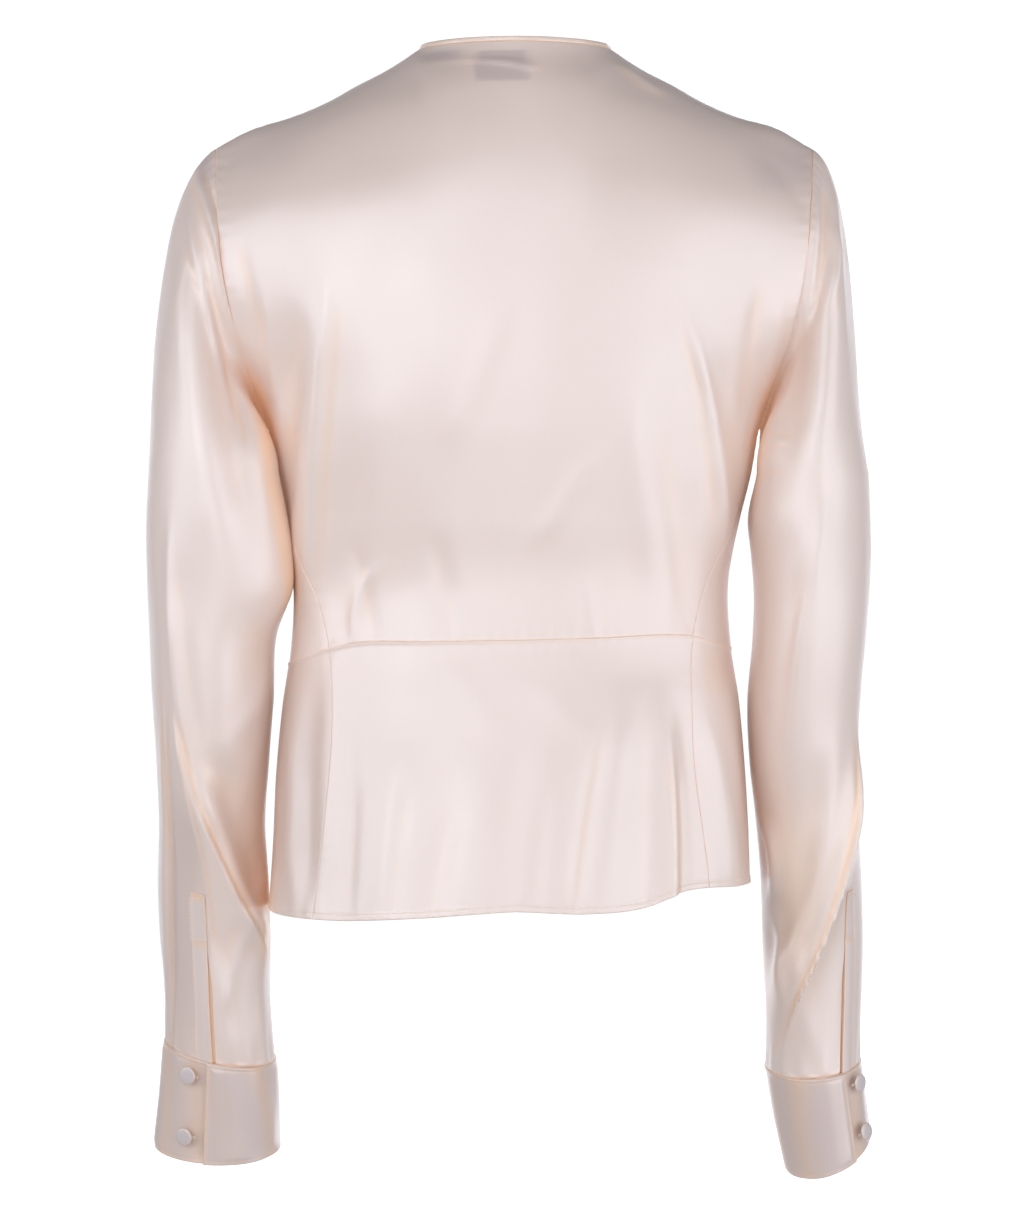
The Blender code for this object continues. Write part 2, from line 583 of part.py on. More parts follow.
def sleeve_points(side, points, normals):
    """Rows of sleeve points, from the armhole down to the cuff."""
    sign = 1 if side == "left" else -1
    along = unit(np.roll(points, -1, axis=0) - np.roll(points, 1, axis=0))
    outward = unit(sign * np.cross(along, normals))
    start = points + outward * SEAM
    angles = column_angles(points, 0, side)
    first = sleeve_ring(side, SLEEVE_DROPS[0], angles)
    chord = np.linalg.norm(first - start, axis=1, keepdims=True)
    under = smoothstep(1 - (chord - chord.min()) / UNDERARM_SPAN)
    leave = (outward + sign * np.array([UNDERARM_PUSH, 0, 0]) * under) * chord * CAP_LEAVE[side]
    outer = np.maximum(np.cos(np.radians(angles)), 0)[:, None]
    arrive = (np.array([0, 0, -1]) + sign * np.array([CAP_SPREAD[side], 0, 0]) * outer) * chord
    rows = []
    for t in CAP_STEPS:
        rows.append((2 * t**3 - 3 * t**2 + 1) * start + (t**3 - 2 * t**2 + t) * leave
                    + (3 * t**2 - 2 * t**3) * first + (t**3 - t**2) * arrive)
    for drop in SLEEVE_DROPS + (CUFFS[side][0].drop - SEAM,):
        rows.append(sleeve_ring(side, drop, column_angles(points, drop, side)))
    return np.array(rows)


def slit_sleeve(side, rows):
    """The sleeve's points and faces, parted at the slit: its far edge has points of its own."""
    count = rows.shape[1]
    faces = grid_faces(len(rows), count, closed=True, turned=side == "left")
    slit = SLIT_COLUMN[side]
    first = len(CAP_STEPS) + SLEEVE_DROPS.index(SLIT_TOP) + 1
    extra, twin = [], {}
    for row in range(first, len(rows)):
        edge, beyond = rows[row, slit], rows[row, slit + 1]
        twin[row * count + slit] = rows.shape[0] * count + len(extra)
        extra.append(edge + SLIT_GAP * unit(beyond - edge))
    beyond_slit = {row * count + slit + 1 for row in range(len(rows))}
    for face in faces:
        if beyond_slit & set(face.tolist()):
            for corner in range(4):
                face[corner] = twin.get(int(face[corner]), face[corner])
    return np.concatenate([rows.reshape(-1, 3), np.array(extra)]), faces


def build_sleeve(side, bodices):
    points, normals = armhole(bodices, side)
    rows = sleeve_points(side, points, normals)
    count = rows.shape[1]
    cloth = Cloth("sleeve_" + side, *slit_sleeve(side, rows))
    share_normals([cloth])
    cloth.crease()
    cloth.points[:count] = rows[0]
    share_normals([cloth])
    cloth.normals[:count] = normals
    add_wall("sleeve_" + side, cloth.points, cloth.points - cloth.normals * WALL, cloth.faces)
    build_placket(side, cloth, count)


def build_placket(side, cloth, count):
    """The placket strip: the sleeve's points beside the slit, moved out."""
    slit = SLIT_COLUMN[side]
    first = len(CAP_STEPS) + SLEEVE_DROPS.index(STRIP_TOP)
    rows = len(CAP_STEPS) + len(SLEEVE_DROPS) + 1 - first
    pick = (np.arange(rows)[:, None] + first) * count + slit - 2 + np.arange(3)
    faces = grid_faces(rows, 3, turned=side == "left")
    under = (cloth.points + cloth.normals * SEAM)[pick.ravel()]
    over = under + cloth.normals[pick.ravel()] * TRIM_WALL
    add_wall("placket_" + side, over, under, faces)


# ========================================================================================
# cuffs and buttons
# ========================================================================================
def cuff_points(side, share, angles, lift):
    """Points of a cuff at a share of its height from the top; lift moves them outward."""
    top, bottom = CUFFS[side]
    x, y, drop, width, depth, roll, pitch = (a + (b - a) * share for a, b in zip(top, bottom))
    out = tilted_ring((0, 0, 0), 1, 1, roll, pitch, angles, side)
    return tilted_ring((x, y, -drop), width, depth, roll, pitch, angles, side) + out * lift[:, None]


def cuff_strip(side):
    """Angles along the cuff's strip and the lift of each: its last steps lie over its first."""
    step = 360 / CUFF_STEPS
    steps = CUFF_STEPS + UNDERLAP_STEPS
    angles = OPENINGS[side].edge - step * np.arange(UNDERLAP_STEPS, UNDERLAP_STEPS - steps - 1, -1)
    turned = angles - angles[0]
    lift = OVERLAP_LIFT * smoothstep((turned - LIFT_FROM) / (360 - LIFT_FROM))
    return angles, lift


def build_cuff(side):
    angles, lift = cuff_strip(side)
    shares = (0, 0.5, 1)
    outer = np.array([cuff_points(side, share, angles, lift) for share in shares])
    inner = np.array([cuff_points(side, share, angles, lift - CUFF_WALL) for share in shares])
    faces = grid_faces(len(shares), len(angles), turned=side == "left")
    add_wall("cuff_" + side, outer.reshape(-1, 3), inner.reshape(-1, 3), faces)


def button_mesh():
    """Half a button's outline; the Screw modifier turns it."""
    mesh = bpy.data.meshes.new("button")
    points = [(radius * MM, 0, height * MM) for radius, height in BUTTON_PROFILE]
    mesh.from_pydata(points, [(i, i + 1) for i in range(len(points) - 1)], [])
    mesh.materials.append(material("button", BUTTON_SATIN))
    return mesh


def build_buttons():
    mesh = button_mesh()
    for side, opening in OPENINGS.items():
        for place, share in BUTTON_HEIGHTS.items():
            lift = np.array([OVERLAP_LIFT, OVERLAP_LIFT + 1])
            spot, above = cuff_points(side, share, np.full(2, opening.button), lift)
            out = Vector(above - spot).normalized()
            button = bpy.data.objects.new("button_" + side + "_" + place, mesh)
            button.location = (Vector(spot) + out * SEAM) * MM
            button.rotation_euler = out.to_track_quat("Z", "Y").to_euler()
            turn = button.modifiers.new("turn", "SCREW")
            turn.steps = turn.render_steps = BUTTON_STEPS
            turn.use_merge_vertices = True
            turn.merge_threshold = 0.01 * MM
            bpy.data.collections[NAME].objects.link(button)


# ========================================================================================
# neck binding and label
# ========================================================================================
def neck_ring(bodices):
    """Points and normals round the neck: back from right to left, then front to the right."""
    lines = []
    for face in ("back", "front"):
        cloth, count = bodices[face], NECK_COLUMNS[face]
        middle = COLUMNS[face]
        both = np.concatenate([cloth.points, cloth.normals], axis=1).reshape(cloth.shape + (6,))
        line = both[-1, middle - count:middle + count + 1]
        lines.append(line if face == "back" else line[::-1])
    ring = np.concatenate([lines[0], lines[1][1:-1]])
    return ring[:, :3], ring[:, 3:]


def build_binding(bodices):
    """A band that stands on the neckline all the way round."""
    points, normals = neck_ring(bodices)
    along = unit(np.roll(points, -1, axis=0) - np.roll(points, 1, axis=0))
    inward = unit(np.cross(along, normals))
    lift = BINDING_LIFT * smoothstep((points[:, 1] - points[:, 1].min()) / NECK_DEPTH)
    up = unit(inward + lift[:, None] * np.array([0, 0, 1]))
    out = unit(np.cross(up, along))
    low = points + up * SEAM
    high = low + up * BINDING_HEIGHT
    outer = np.concatenate([low, high])
    thick = np.concatenate([out, out]) * BINDING_WALL
    add_wall("neck_binding", outer, outer - thick, grid_faces(2, len(points), closed=True, turned=True))


def build_label():
    """A blank label inside the back of the neck, made from the back bodice's own sections."""
    reaches = np.linspace(*LABEL_REACH, LABEL_ROWS + 1)
    halves = [upper_half("back", "right", reaches)[:, :0:-1], upper_half("back", "left", reaches)]
    wide = np.concatenate(halves, axis=1)
    x = np.linspace(*LABEL_X, LABEL_COLUMNS + 1)
    rows = [np.stack([np.interp(x, row[:, 0], row[:, axis]) for axis in range(3)], axis=-1)
            for row in wide]
    faces = grid_faces(LABEL_ROWS + 1, LABEL_COLUMNS + 1, turned=True)
    label = Cloth("label", np.array(rows), faces)
    share_normals([label])
    outer = label.points - label.normals * (WALL + LABEL_GAP)
    add_wall("neck_label", outer, outer - label.normals * TRIM_WALL, label.faces, BACKING)


# ========================================================================================
def main():
    for thing in list(bpy.data.objects):
        bpy.data.objects.remove(thing, do_unlink=True)
    bpy.context.scene.collection.children.link(bpy.data.collections.new(NAME))
    bodices = build_torso()
    for side in ("left", "right"):
        build_sleeve(side, bodices)
        build_cuff(side)
    build_buttons()
    build_binding(bodices)
    build_label()


main()
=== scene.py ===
"""Silk blouse: the satin, its folds, seams and sewing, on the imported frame, in a plain studio.

Tables are in millimetres, and "drop" is the distance below the origin, the centre of the neck.
+X is the wearer's left and +Y the wearer's back, which the camera looks at.
"""
from collections import namedtuple

import bpy
import numpy as np
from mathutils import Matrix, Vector, noise

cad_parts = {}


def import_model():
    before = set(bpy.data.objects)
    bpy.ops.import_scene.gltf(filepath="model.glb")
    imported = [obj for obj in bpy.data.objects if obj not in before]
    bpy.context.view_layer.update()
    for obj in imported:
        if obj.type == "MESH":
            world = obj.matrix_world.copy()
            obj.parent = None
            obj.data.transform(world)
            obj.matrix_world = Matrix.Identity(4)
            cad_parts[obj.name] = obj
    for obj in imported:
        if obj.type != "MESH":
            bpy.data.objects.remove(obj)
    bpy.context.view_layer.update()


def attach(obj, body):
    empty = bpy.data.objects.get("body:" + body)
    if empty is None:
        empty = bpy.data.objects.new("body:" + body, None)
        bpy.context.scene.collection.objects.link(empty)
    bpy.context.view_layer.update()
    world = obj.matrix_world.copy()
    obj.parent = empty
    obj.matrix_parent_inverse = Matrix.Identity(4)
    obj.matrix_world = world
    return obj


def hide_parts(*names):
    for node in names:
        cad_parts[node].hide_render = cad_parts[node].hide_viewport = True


MM = 0.001
SIDES = {"left": 1, "right": -1}
FACES = ("back", "front")

# --- cloth ---
WALL = 0.6
CUFF_WALL = 2.0
BINDING_WALL, BINDING_HEIGHT, BINDING_LIFT = 1.8, 3.5, 0.8
BINDING_SIDES, BINDING_SPAN, BINDING_SEWN = 20, 3, 0.9     # points round it, points its way is read over, stitch line
TRIM_WALL, PANEL_WALL = 0.9, 1.3
SEAM = 0.3
SEAM_DEPTH, SEAM_WIDTH = 0.4, 0.8          # how far cloth turns in at a seam, and over what width
LIP_HEIGHT, LIP_WIDTH = 0.65, 1.3           # the peplum's top edge, which stands out under the waist seam
HEM_WIDTH, HEM_LINE, HEM_STEP = 4.6, 4.0, 0.35      # the turned-up hem and the line it is sewn along
PUCKER_LENGTH, PUCKER_REACH, PUCKER_HEIGHT, PUCKER_CLEAR = 9.0, 9.0, 0.16, 1.5     # ripples that run into a seam

# --- grid ---
STEP = 2.8
EDGE_STEPS = (0, 0.15, 0.35, 0.6, 0.95, 1.5, 2.3, 3.1, 3.8, 4.3, 4.8, 5.6, 6.8, 8.6)
HALF_WIDTH = 190.0
NECK_SHARE = {"back": 6 / 18, "front": 7 / 15}     # share of a half's columns up to the neck point
DENSE = 200

# --- torso: one row for each level ---
UNDERARM, WAIST = 242.0, 379.0
SQUARENESS = 2.3
Level = namedtuple("Level", "drop left right back front")
TORSO = [
    Level(180, 178.0, 175.0, 108.0, 120.0),
    Level(242, 157.5, 155.5, 103.0, 121.0),
    Level(270, 153.5, 151.0, 98.0, 115.0),
    Level(300, 147.7, 143.8, 92.0, 106.0),
    Level(345, 141.6, 136.4, 84.0, 98.0),
    Level(379, 143.2, 138.0, 86.0, 99.0),
    Level(415, 148.0, 143.0, 93.0, 103.0),
    Level(453, 151.7, 146.5, 100.5, 106.0),
    Level(492, 154.0, 149.0, 106.5, 109.5),
    Level(560, 158.0, 152.0, 113.0, 112.5),
]
SideSeam = namedtuple("SideSeam", "drop angle")
SIDE_SEAM = [SideSeam(242, 90), SideSeam(300, 72), SideSeam(379, 52.4), SideSeam(560, 51.3)]
Edge = namedtuple("Edge", "angle left right")
WAIST_SEAM = [
    Edge(0, 376.0, 376.0), Edge(20, 377.0, 374.5), Edge(40, 377.5, 372.6),
    Edge(52, 381.5, 373.4), Edge(65, 387.0, 377.5), Edge(90, 391.0, 381.0),
    Edge(130, 388.0, 383.0), Edge(180, 384.5, 384.5),
]
HEM = [
    Edge(0, 543.5, 543.5), Edge(15, 547.0, 545.0), Edge(30, 549.5, 541.0),
    Edge(38, 550.2, 534.5), Edge(66, 549.5, 531.0), Edge(90, 547.0, 531.0), Edge(130, 545.0, 537.0),
    Edge(180, 543.0, 543.0),
]
Section = namedtuple("Section", "reach centre half neck middle edge")
UPPER_BACK = [
    Section(57, (0, 107.5, 190), (35, 106, 190), (66, 101, 190), (120, 83, 189), (174, 42, 188)),
    Section(107, (0, 105, 135), (36, 104, 136), (64, 100, 137), (124, 84, 142), (183, 52, 150)),
    Section(160, (0, 93, 76), (38, 92, 77), (63, 88, 80), (126, 74, 92), (188, 44, 108)),
    Section(205, (0, 77, 32), (40, 73, 32), (63, 62, 32), (126, 46, 52), (190, 24, 78)),
]
UPPER_FRONT = [
    Section(57, (0, 121.5, 224), (50, 117, 205), (90, 108, 190), (128, 86, 196), (160, 44, 195)),
    Section(107, (0, 119.5, 204), (53, 110, 165), (82, 95, 132), (127, 84, 150), (165, 52, 155)),
    Section(160, (0, 116.5, 186), (54, 98, 128), (73, 66, 68), (126, 66, 98), (174, 46, 112)),
    Section(205, (0, 114, 171), (46.5, 88, 107), (66, 30, 22), (125, 30, 50), (185, 26, 80)),
]
TOP_REACH, LEAD_IN = 250.0, 57.0
NECK_RISE, SHOULDER_LEVEL, ARRIVAL = (0, 0.33, 0.94), (0, 1, 0), 1.15
TIP_X = {"left": 191.5, "right": 190.0}
NECK_X, NECK_Y, BACK_NECK_Y, BACK_NECK_RISE, NECK_DEPTH = 62.0, 5.0, 61.0, -0.5, 170.0
NeckPoint = namedtuple("NeckPoint", "x y drop")
FRONT_NECKLINE = [
    NeckPoint(0, -112, 160), NeckPoint(14, -107.5, 149), NeckPoint(29, -92, 116),
    NeckPoint(44, -67, 71), NeckPoint(55, -35, 25), NeckPoint(62, 5, 0),
]
Shoulder = namedtuple("Shoulder", "x drop")
SHOULDER = [
    Shoulder(62, 0), Shoulder(79, 11), Shoulder(100, 21.8), Shoulder(118, 31.8),
    Shoulder(140.5, 41.5), Shoulder(171, 51), Shoulder(191.5, 62),
]

# --- sleeves ---
Ring = namedtuple("Ring", "drop outer inner y depth roll pitch")
SLEEVES = {
    "left": [
        Ring(270, 234.0, 155.6, 6, 58, 0, 0), Ring(300, 235.0, 149.2, 7, 57, 0, 0),
        Ring(322, 235.0, 145.6, 7, 55.5, 0, 0), Ring(345, 234.8, 142.9, 6, 54, 0, 0),
        Ring(372, 234.0, 152.0, 4, 52, 0, 0), Ring(415, 232.0, 154.5, 0, 49.5, 0, 1),
        Ring(453, 230.0, 157.5, -5, 47, 0, 3), Ring(491, 228.5, 160.5, -12, 45, 0, 5),
        Ring(530, 229.5, 158.3, -18.5, 43.5, 0, 6), Ring(566, 229.0, 157.6, -25, 42, 2, 8),
        Ring(602, 226.8, 158.0, -30, 40.5, 6, 9.5),
    ],
    "right": [
        Ring(270, 225.3, 154.4, 6, 59, 0, 0), Ring(300, 226.5, 148.4, 7, 58, 0, 0),
        Ring(322, 227.0, 150.5, 7, 56.5, 0, 0), Ring(345, 226.5, 152.5, 6, 55, 0, 0),
        Ring(380, 224.0, 151.5, 4, 53, 0, 0), Ring(415, 221.0, 148.8, 0, 51, 0, 1),
        Ring(453, 219.0, 150.0, -5, 49, 0, 3), Ring(491, 220.0, 154.5, -12, 48, 0, 5),
        Ring(530, 222.8, 158.0, -18.5, 46, 0, 6), Ring(566, 224.2, 159.8, -25, 45, 1, 7.5),
        Ring(602, 223.8, 162.0, -30, 44, 3, 9),
    ],
}
SLEEVE_TOP = 270.0
# the fold beside the bodice leans over: how far, from which drop to which, and behind which y
LEAN, LEAN_TOP, LEAN_END = {"left": 13.0, "right": 8.0}, 185.0, {"left": 400.0, "right": 330.0}
LEAN_BEHIND, LEAN_CLEAR = 8.0, 2.0
ARMHOLE_CLEAR, ARMHOLE_END = 6.0, 252.0    # it stays clear by more down to here
CAP_LENGTH = 205.0
ARMHOLE_ROWS = 11                          # spans of the armhole's back, and of its front
FINE = 10                                  # columns in each span
UNDERARM_PUSH, UNDERARM_SPAN = 0.55, 40.0
CAP_LEAVE, CAP_SPREAD = {"left": 0.6, "right": 0.46}, {"left": 0.03, "right": 0.17}

# --- cuffs and plackets ---
CuffRing = namedtuple("CuffRing", "x y drop width depth roll pitch")
CUFFS = {
    "left": (CuffRing(190.8, -35.0, 640.3, 36.8, 38.5, 10.3, 10.8),
             CuffRing(193.3, -47.0, 704.5, 41.3, 37.0, 1.5, 14.0)),
    "right": (CuffRing(192.6, -35.0, 649.0, 31.3, 43.5, 5.0, 9.5),
              CuffRing(203.0, -47.0, 707.5, 29.8, 44.5, 20.0, 15.0)),
}
SLEEVE_INSET, TUCKED = 0.6, 1.2            # the sleeve's end lies inside the cuff
CUFF_STEP, UNDERLAP = 1.9, 33.75           # degrees
CUFF_DEGREE = 0.66                         # length of a degree round a cuff
OVERLAP_LIFT = CUFF_WALL + 0.35
LIFT_FROM = 320.0
CUFF_HEIGHT = 63.0
CUFF_STITCH, CUFF_TOP_LINE = 2.4, 3.1      # the line pressed in round a cuff, and the painted pale line along its top
Opening = namedtuple("Opening", "edge button slit strip")
OPENINGS = {"left": Opening(80.5, 63.7, 86.0, 67.5), "right": Opening(56.0, 40.0, 57.0, 38.0)}
SLIT_TOP, SLIT_GAP, SLIT_EASE, SLIT_SPREAD = 566.0, 2.2, 30.0, 14
STRIP_TOP, STRIP_TAPER = 530.0, 7.0
BOX_LINES, GROOVE_BELOW = (534.0, 562.0), 1.8      # the two stitched lines of the placket's box
SLIT_COLUMN = {"left": 6, "right": 4}
SHIFT_FROM, SHIFT_TO = 400.0, 520.0
BUTTON_HEIGHTS = {"upper": 0.16, "lower": 0.74}
HOLE_HALF, HOLE_SHIFT = 6.0, 0.4           # a buttonhole's half length, and how far its middle is from the button's

# --- sewing: how far apart the stitches are, their length and radius, and their height over the cloth ---
Stitch = namedtuple("Stitch", "pitch length radius lift")
HEM_SEWING = Stitch(2.9, 2.1, 0.22, 0.1)
BOX_SEWING, BOX_SIDE_PITCH = Stitch(2.2, 1.7, 0.2, 0.1), 2.4
BAND_SEWING = Stitch(2.3, 1.7, 0.18, 0)
HOLE_SEWING = Stitch(0.42, 0.9, 0.17, 0.12)

# --- label ---
LABEL_X, LABEL_REACH, LABEL_GAP = (-8.0, 24.5), (227.0, 246.0), 0.5
LABEL_ROWS, LABEL_COLUMNS, LABEL_SAG = 15, 27, 0.5
LABEL_SHOWS, LABEL_SHADE = (5.5, 26.5), 0.5     # drops between which its painted shadow shows through the back, and how strongly

# --- folds: each row runs down the cloth through three points (x, drop) ---
Fold = namedtuple("Fold", "x_top top x_middle middle x_end end width height")
FOLDS = {
    ("bodice", "back"): [
        (118, 128, 125, 210, 141, 385, 12, 4.5), (132, 150, 138, 215, 149, 330, 10, -3.0),
        (-102, 158, -123, 232, -134, 345, 12, 4.0), (-116, 190, -135, 250, -140, 330, 9, -2.5),
        (79, 195, 88, 255, 104, 390, 14, 2.5), (-64, 195, -77, 255, -102, 385, 14, 2.5),
        (95, 230, 100, 290, 116, 400, 10, -2.0), (-90, 230, -98, 290, -113, 400, 10, -2.0),
    ],
    ("bodice", "front"): [
        (112, 150, 118, 230, 134, 385, 14, 4.0), (-108, 160, -117, 240, -130, 385, 14, 4.0),
        (62, 240, 74, 310, 92, 400, 14, 2.5), (-66, 235, -76, 305, -95, 400, 14, 2.5),
    ],
    ("peplum", "back"): [
        (-72, 392, -62, 478, -48, 575, 14, 2.6), (-90, 392, -97, 485, -94, 575, 10, 3.8),
        (-103, 400, -109, 488, -108, 575, 9, -3.4), (-111, 392, -124, 440, -137, 560, 11, 3.0),
        (104, 400, 107, 480, 112, 575, 10, -2.5), (70, 420, 74, 490, 80, 575, 14, 2.5),
        (-22, 430, -14, 500, -10, 575, 14, 2.0), (20, 430, 24, 500, 28, 575, 15, 2.0),
    ],
    ("peplum", "front"): [
        (110, 395, 118, 470, 128, 575, 14, 3.5), (58, 400, 62, 480, 66, 575, 15, 3.0),
        (2, 420, 5, 490, 6, 575, 15, 2.5), (-52, 400, -58, 480, -60, 575, 15, 3.0),
        (-106, 395, -116, 470, -124, 575, 14, 3.5),
    ],
    ("sleeve_left", "back"): [
        (206, 105, 190, 185, 160, 330, 10, -3.0), (214, 120, 201, 210, 176, 360, 12, 3.5),
        (218, 300, 210, 420, 196, 545, 12, 4.0), (199, 455, 187, 515, 158, 590, 12, 6.0),
        (186, 440, 172, 500, 150, 560, 11, -5.0), (176, 560, 178, 600, 180, 655, 12, 3.0),
    ],
    ("sleeve_left", "front"): [
        (212, 110, 200, 200, 176, 330, 13, 3.5), (200, 330, 196, 440, 190, 560, 14, 3.5),
        (175, 430, 190, 520, 205, 620, 13, -3.5),
    ],
    ("sleeve_right", "back"): [
        (-203, 95, -199, 165, -183, 300, 11, 3.5), (-188, 110, -180, 180, -162, 300, 10, -3.0),
        (-197, 275, -184, 370, -166, 480, 13, 3.5), (-214, 415, -202, 505, -160, 640, 12, 6.0),
        (-196, 440, -184, 520, -152, 600, 11, -5.0), (-166, 480, -174, 540, -172, 630, 10, 3.0),
    ],
    ("sleeve_right", "front"): [
        (-208, 110, -196, 200, -170, 330, 13, 3.5), (-196, 330, -190, 440, -186, 560, 14, 3.5),
        (-170, 430, -186, 520, -200, 620, 13, -3.5),
    ],
}
# finer creases, which the frame's solids leave out
CREASES = {
    ("bodice", "back"): [
        (114, 135, 122, 230, 131, 372, 3.5, 1.1), (-104, 165, -121, 228, -131, 330, 3.2, 1.1),
        (-99, 168, -115, 232, -124, 320, 3.5, -0.9), (106, 150, 115, 235, 121, 345, 5, -0.8),
        (2, 160, 22, 208, 46, 270, 7, 0.8), (-58, 250, -32, 287, -8, 325, 7, 0.7),
        (80, 322, 94, 342, 98, 384, 3.5, 0.9), (102, 306, 92, 351, 88, 384, 5, -0.8),
        (38, 10, 14, 13, -8, 22, 2.5, 0.9), (-62, 9, -78, 21, -94, 34, 3, 1.2),
        (-150, 62, -176, 92, -188, 118, 6, -0.5),
        (174, 120, 167, 159, 156, 195, 5, -1.2), (158, 150, 152, 202, 146, 262, 4, 1.0),
        (-156, 140, -150, 190, -141, 256, 6, -1.3), (-168, 150, -163, 190, -156, 240, 4, 0.9),
        (52, 300, 44, 345, 40, 384, 8, -0.7), (-40, 330, -46, 360, -48, 386, 7, 0.7),
    ],
    ("bodice", "front"): [
        (64, 118, 98, 152, 124, 205, 6, 0.7), (-58, 98, -98, 130, -126, 168, 6, 0.5),
        (24, 192, 60, 218, 104, 268, 9, 0.6), (-50, 205, -78, 232, -112, 285, 9, 0.4),
        (118, 270, 104, 330, 98, 388, 5, 1.0), (-120, 260, -108, 325, -100, 388, 5, 1.0),
        (20, 300, 24, 345, 22, 390, 8, 0.7), (-24, 310, -28, 350, -26, 390, 8, 0.7),
    ],
    ("peplum", "back"): [
        (-93, 425, -98, 482, -96, 565, 3.2, 1.6), (-99, 440, -103, 488, -101, 565, 3.2, -1.6),
        (-58, 420, -46, 475, -36, 560, 6, -1.2), (-118, 420, -128, 465, -137, 545, 5, 1.0),
        (100, 455, 102, 505, 104, 565, 5, -0.7), (137, 440, 138, 500, 140, 560, 4, 1.2),
        (65, 455, 72, 506, 77, 565, 6, -1.0), (37, 470, 46, 512, 54, 565, 8, -0.9),
        (-4, 395, -30, 420, -58, 450, 9, 0.4), (44, 384, 28, 410, 8, 445, 9, 0.35),
        (127, 384, 130, 460, 129, 556, 8, -2.0), (140, 420, 142, 480, 143, 540, 3.5, 1.3),
        (-22, 455, -15, 500, -11, 560, 7, -0.9),
    ],
    ("peplum", "front"): [
        (84, 420, 90, 480, 94, 560, 6, -1.2), (30, 430, 32, 490, 33, 560, 7, -1.0),
        (-28, 425, -30, 490, -31, 560, 7, -1.0), (-80, 420, -86, 480, -90, 560, 6, -1.2),
    ],
    ("sleeve_left", "back"): [
        (208, 66, 192, 106, 176, 180, 3.6, 2.4), (202, 72, 185, 118, 168, 195, 3.0, -2.2),
        (210, 98, 193, 165, 178, 226, 3.8, 1.8), (200, 130, 183, 190, 164, 268, 3.8, -1.8),
        (218, 285, 211, 398, 203, 470, 3.8, 1.5), (207, 430, 196, 500, 190, 570, 4.0, 1.3),
        (214, 310, 205, 405, 195, 470, 6, -1.1), (202, 448, 186, 498, 154, 586, 4.5, 2.4),
        (196, 470, 178, 520, 160, 566, 5, -1.6), (219, 400, 219, 516, 221, 650, 2.6, -2.2),
        (223, 400, 223, 516, 224, 650, 3.0, 0.9), (146, 350, 160, 408, 178, 446, 6, 1.3),
        (148, 440, 160, 480, 165, 520, 5, 1.5), (146, 505, 159, 532, 172, 546, 4, 1.2),
        (187, 560, 180, 604, 177, 648, 4.5, -1.2), (172, 552, 182, 592, 187, 620, 4, 1.1),
        (168, 570, 164, 610, 163, 648, 5, 1.0),
    ],
    ("sleeve_left", "front"): [
        (214, 90, 200, 140, 180, 220, 4.5, 1.3), (206, 130, 190, 190, 166, 280, 4.5, -1.2),
        (160, 330, 178, 380, 205, 440, 6, 1.1), (158, 390, 180, 440, 210, 500, 6, -0.8),
        (165, 480, 180, 540, 186, 600, 5, 1.3), (205, 500, 200, 560, 198, 630, 5, 1.1),
    ],
    ("sleeve_right", "back"): [
        (-200, 76, -202, 121, -194, 175, 4.0, 2.2), (-190, 84, -188, 135, -178, 190, 3.6, 1.9),
        (-195, 80, -196, 125, -186, 185, 3.6, -2.0), (-185, 90, -181, 123, -173, 168, 2.8, -1.8),
        (-197, 275, -185, 344, -172, 424, 5, 1.0), (-183, 315, -174, 376, -165, 462, 5, -1.0),
        (-219, 405, -209, 500, -166, 640, 4.5, 2.4), (-210, 420, -201, 510, -160, 630, 5.5, -2.0),
        (-151, 480, -166, 520, -160, 550, 4, 1.8), (-160, 540, -170, 571, -173, 618, 4, 1.7),
        (-151, 530, -157, 579, -163, 620, 4, -1.5), (-150, 244, -158, 248, -170, 253, 3, 0.6),
        (-178, 560, -184, 600, -190, 648, 5, 1.0),
    ],
    ("sleeve_right", "front"): [
        (-210, 90, -198, 140, -178, 220, 4.5, 1.3), (-200, 130, -184, 190, -160, 280, 4.5, -1.2),
        (-156, 350, -176, 404, -204, 468, 6, 1.0), (-154, 415, -178, 470, -206, 528, 6, -0.8),
        (-162, 480, -176, 540, -182, 600, 5, 1.3), (-202, 500, -197, 560, -195, 640, 5, 1.1),
    ],
}
# folds that lie over the cloth beside them: toward +X where the height is positive
PLEATS = {
    ("sleeve_left", "back"): [
        (222, 380, 220, 520, 219, 670, 6, -1.5), (213, 415, 191, 503, 141, 615, 9, 3.0),
        (212, 430, 199, 500, 192, 585, 8, 1.2),
    ],
    ("sleeve_right", "back"): [
        (-217, 425, -203, 533, -164, 652, 9, -3.8),
    ],
    ("peplum", "back"): [
        (-90, 440, -97, 500, -95, 565, 6, 0.8),
    ],
}
PLEAT_EDGE, PLEAT_FADE = 2.4, 0.16         # width of the step at such a fold's edge, and how it starts
FOLD_FADE = 0.3
CREASE_GAIN = 1.5
# painted shade: soft places made darker and warmer where little light reaches, at folds, gathers, shoulders and side
# panels
PaintedShade = namedtuple("PaintedShade", "x drop wide long warm shade")
PAINTED_SHADE_PATCHES = {
    "bodice": [PaintedShade(47, 8, 14, 4, 0.0, 0.6), PaintedShade(-170, 78, 24, 17, 0.0, 0.3), PaintedShade(160, 70, 26, 12, 0.0, 0.12)],
    "peplum_front": [PaintedShade(133, 462, 24, 80, 0.4, 0.5)],
    "peplum": [
        PaintedShade(-147, 472, 6, 48, 0.5, 0.5),
        PaintedShade(-128, 396, 9, 13, 0.25, 0.06), PaintedShade(85, 440, 30, 40, 0.0, 0.06),
    ],
    "sleeve_left": [
        PaintedShade(198, 74, 5, 13, 0.0, 0.45), PaintedShade(211, 560, 13, 90, 0.25, 0.5),
        PaintedShade(219, 535, 2.4, 95, 0.6, 0.1), PaintedShade(165, 500, 14, 40, 0.3, 0.05),
    ],
    "sleeve_right": [PaintedShade(-180, 540, 15, 60, 0.35, 0.04), PaintedShade(-160, 600, 9, 26, 0.4, 0.1)],
}
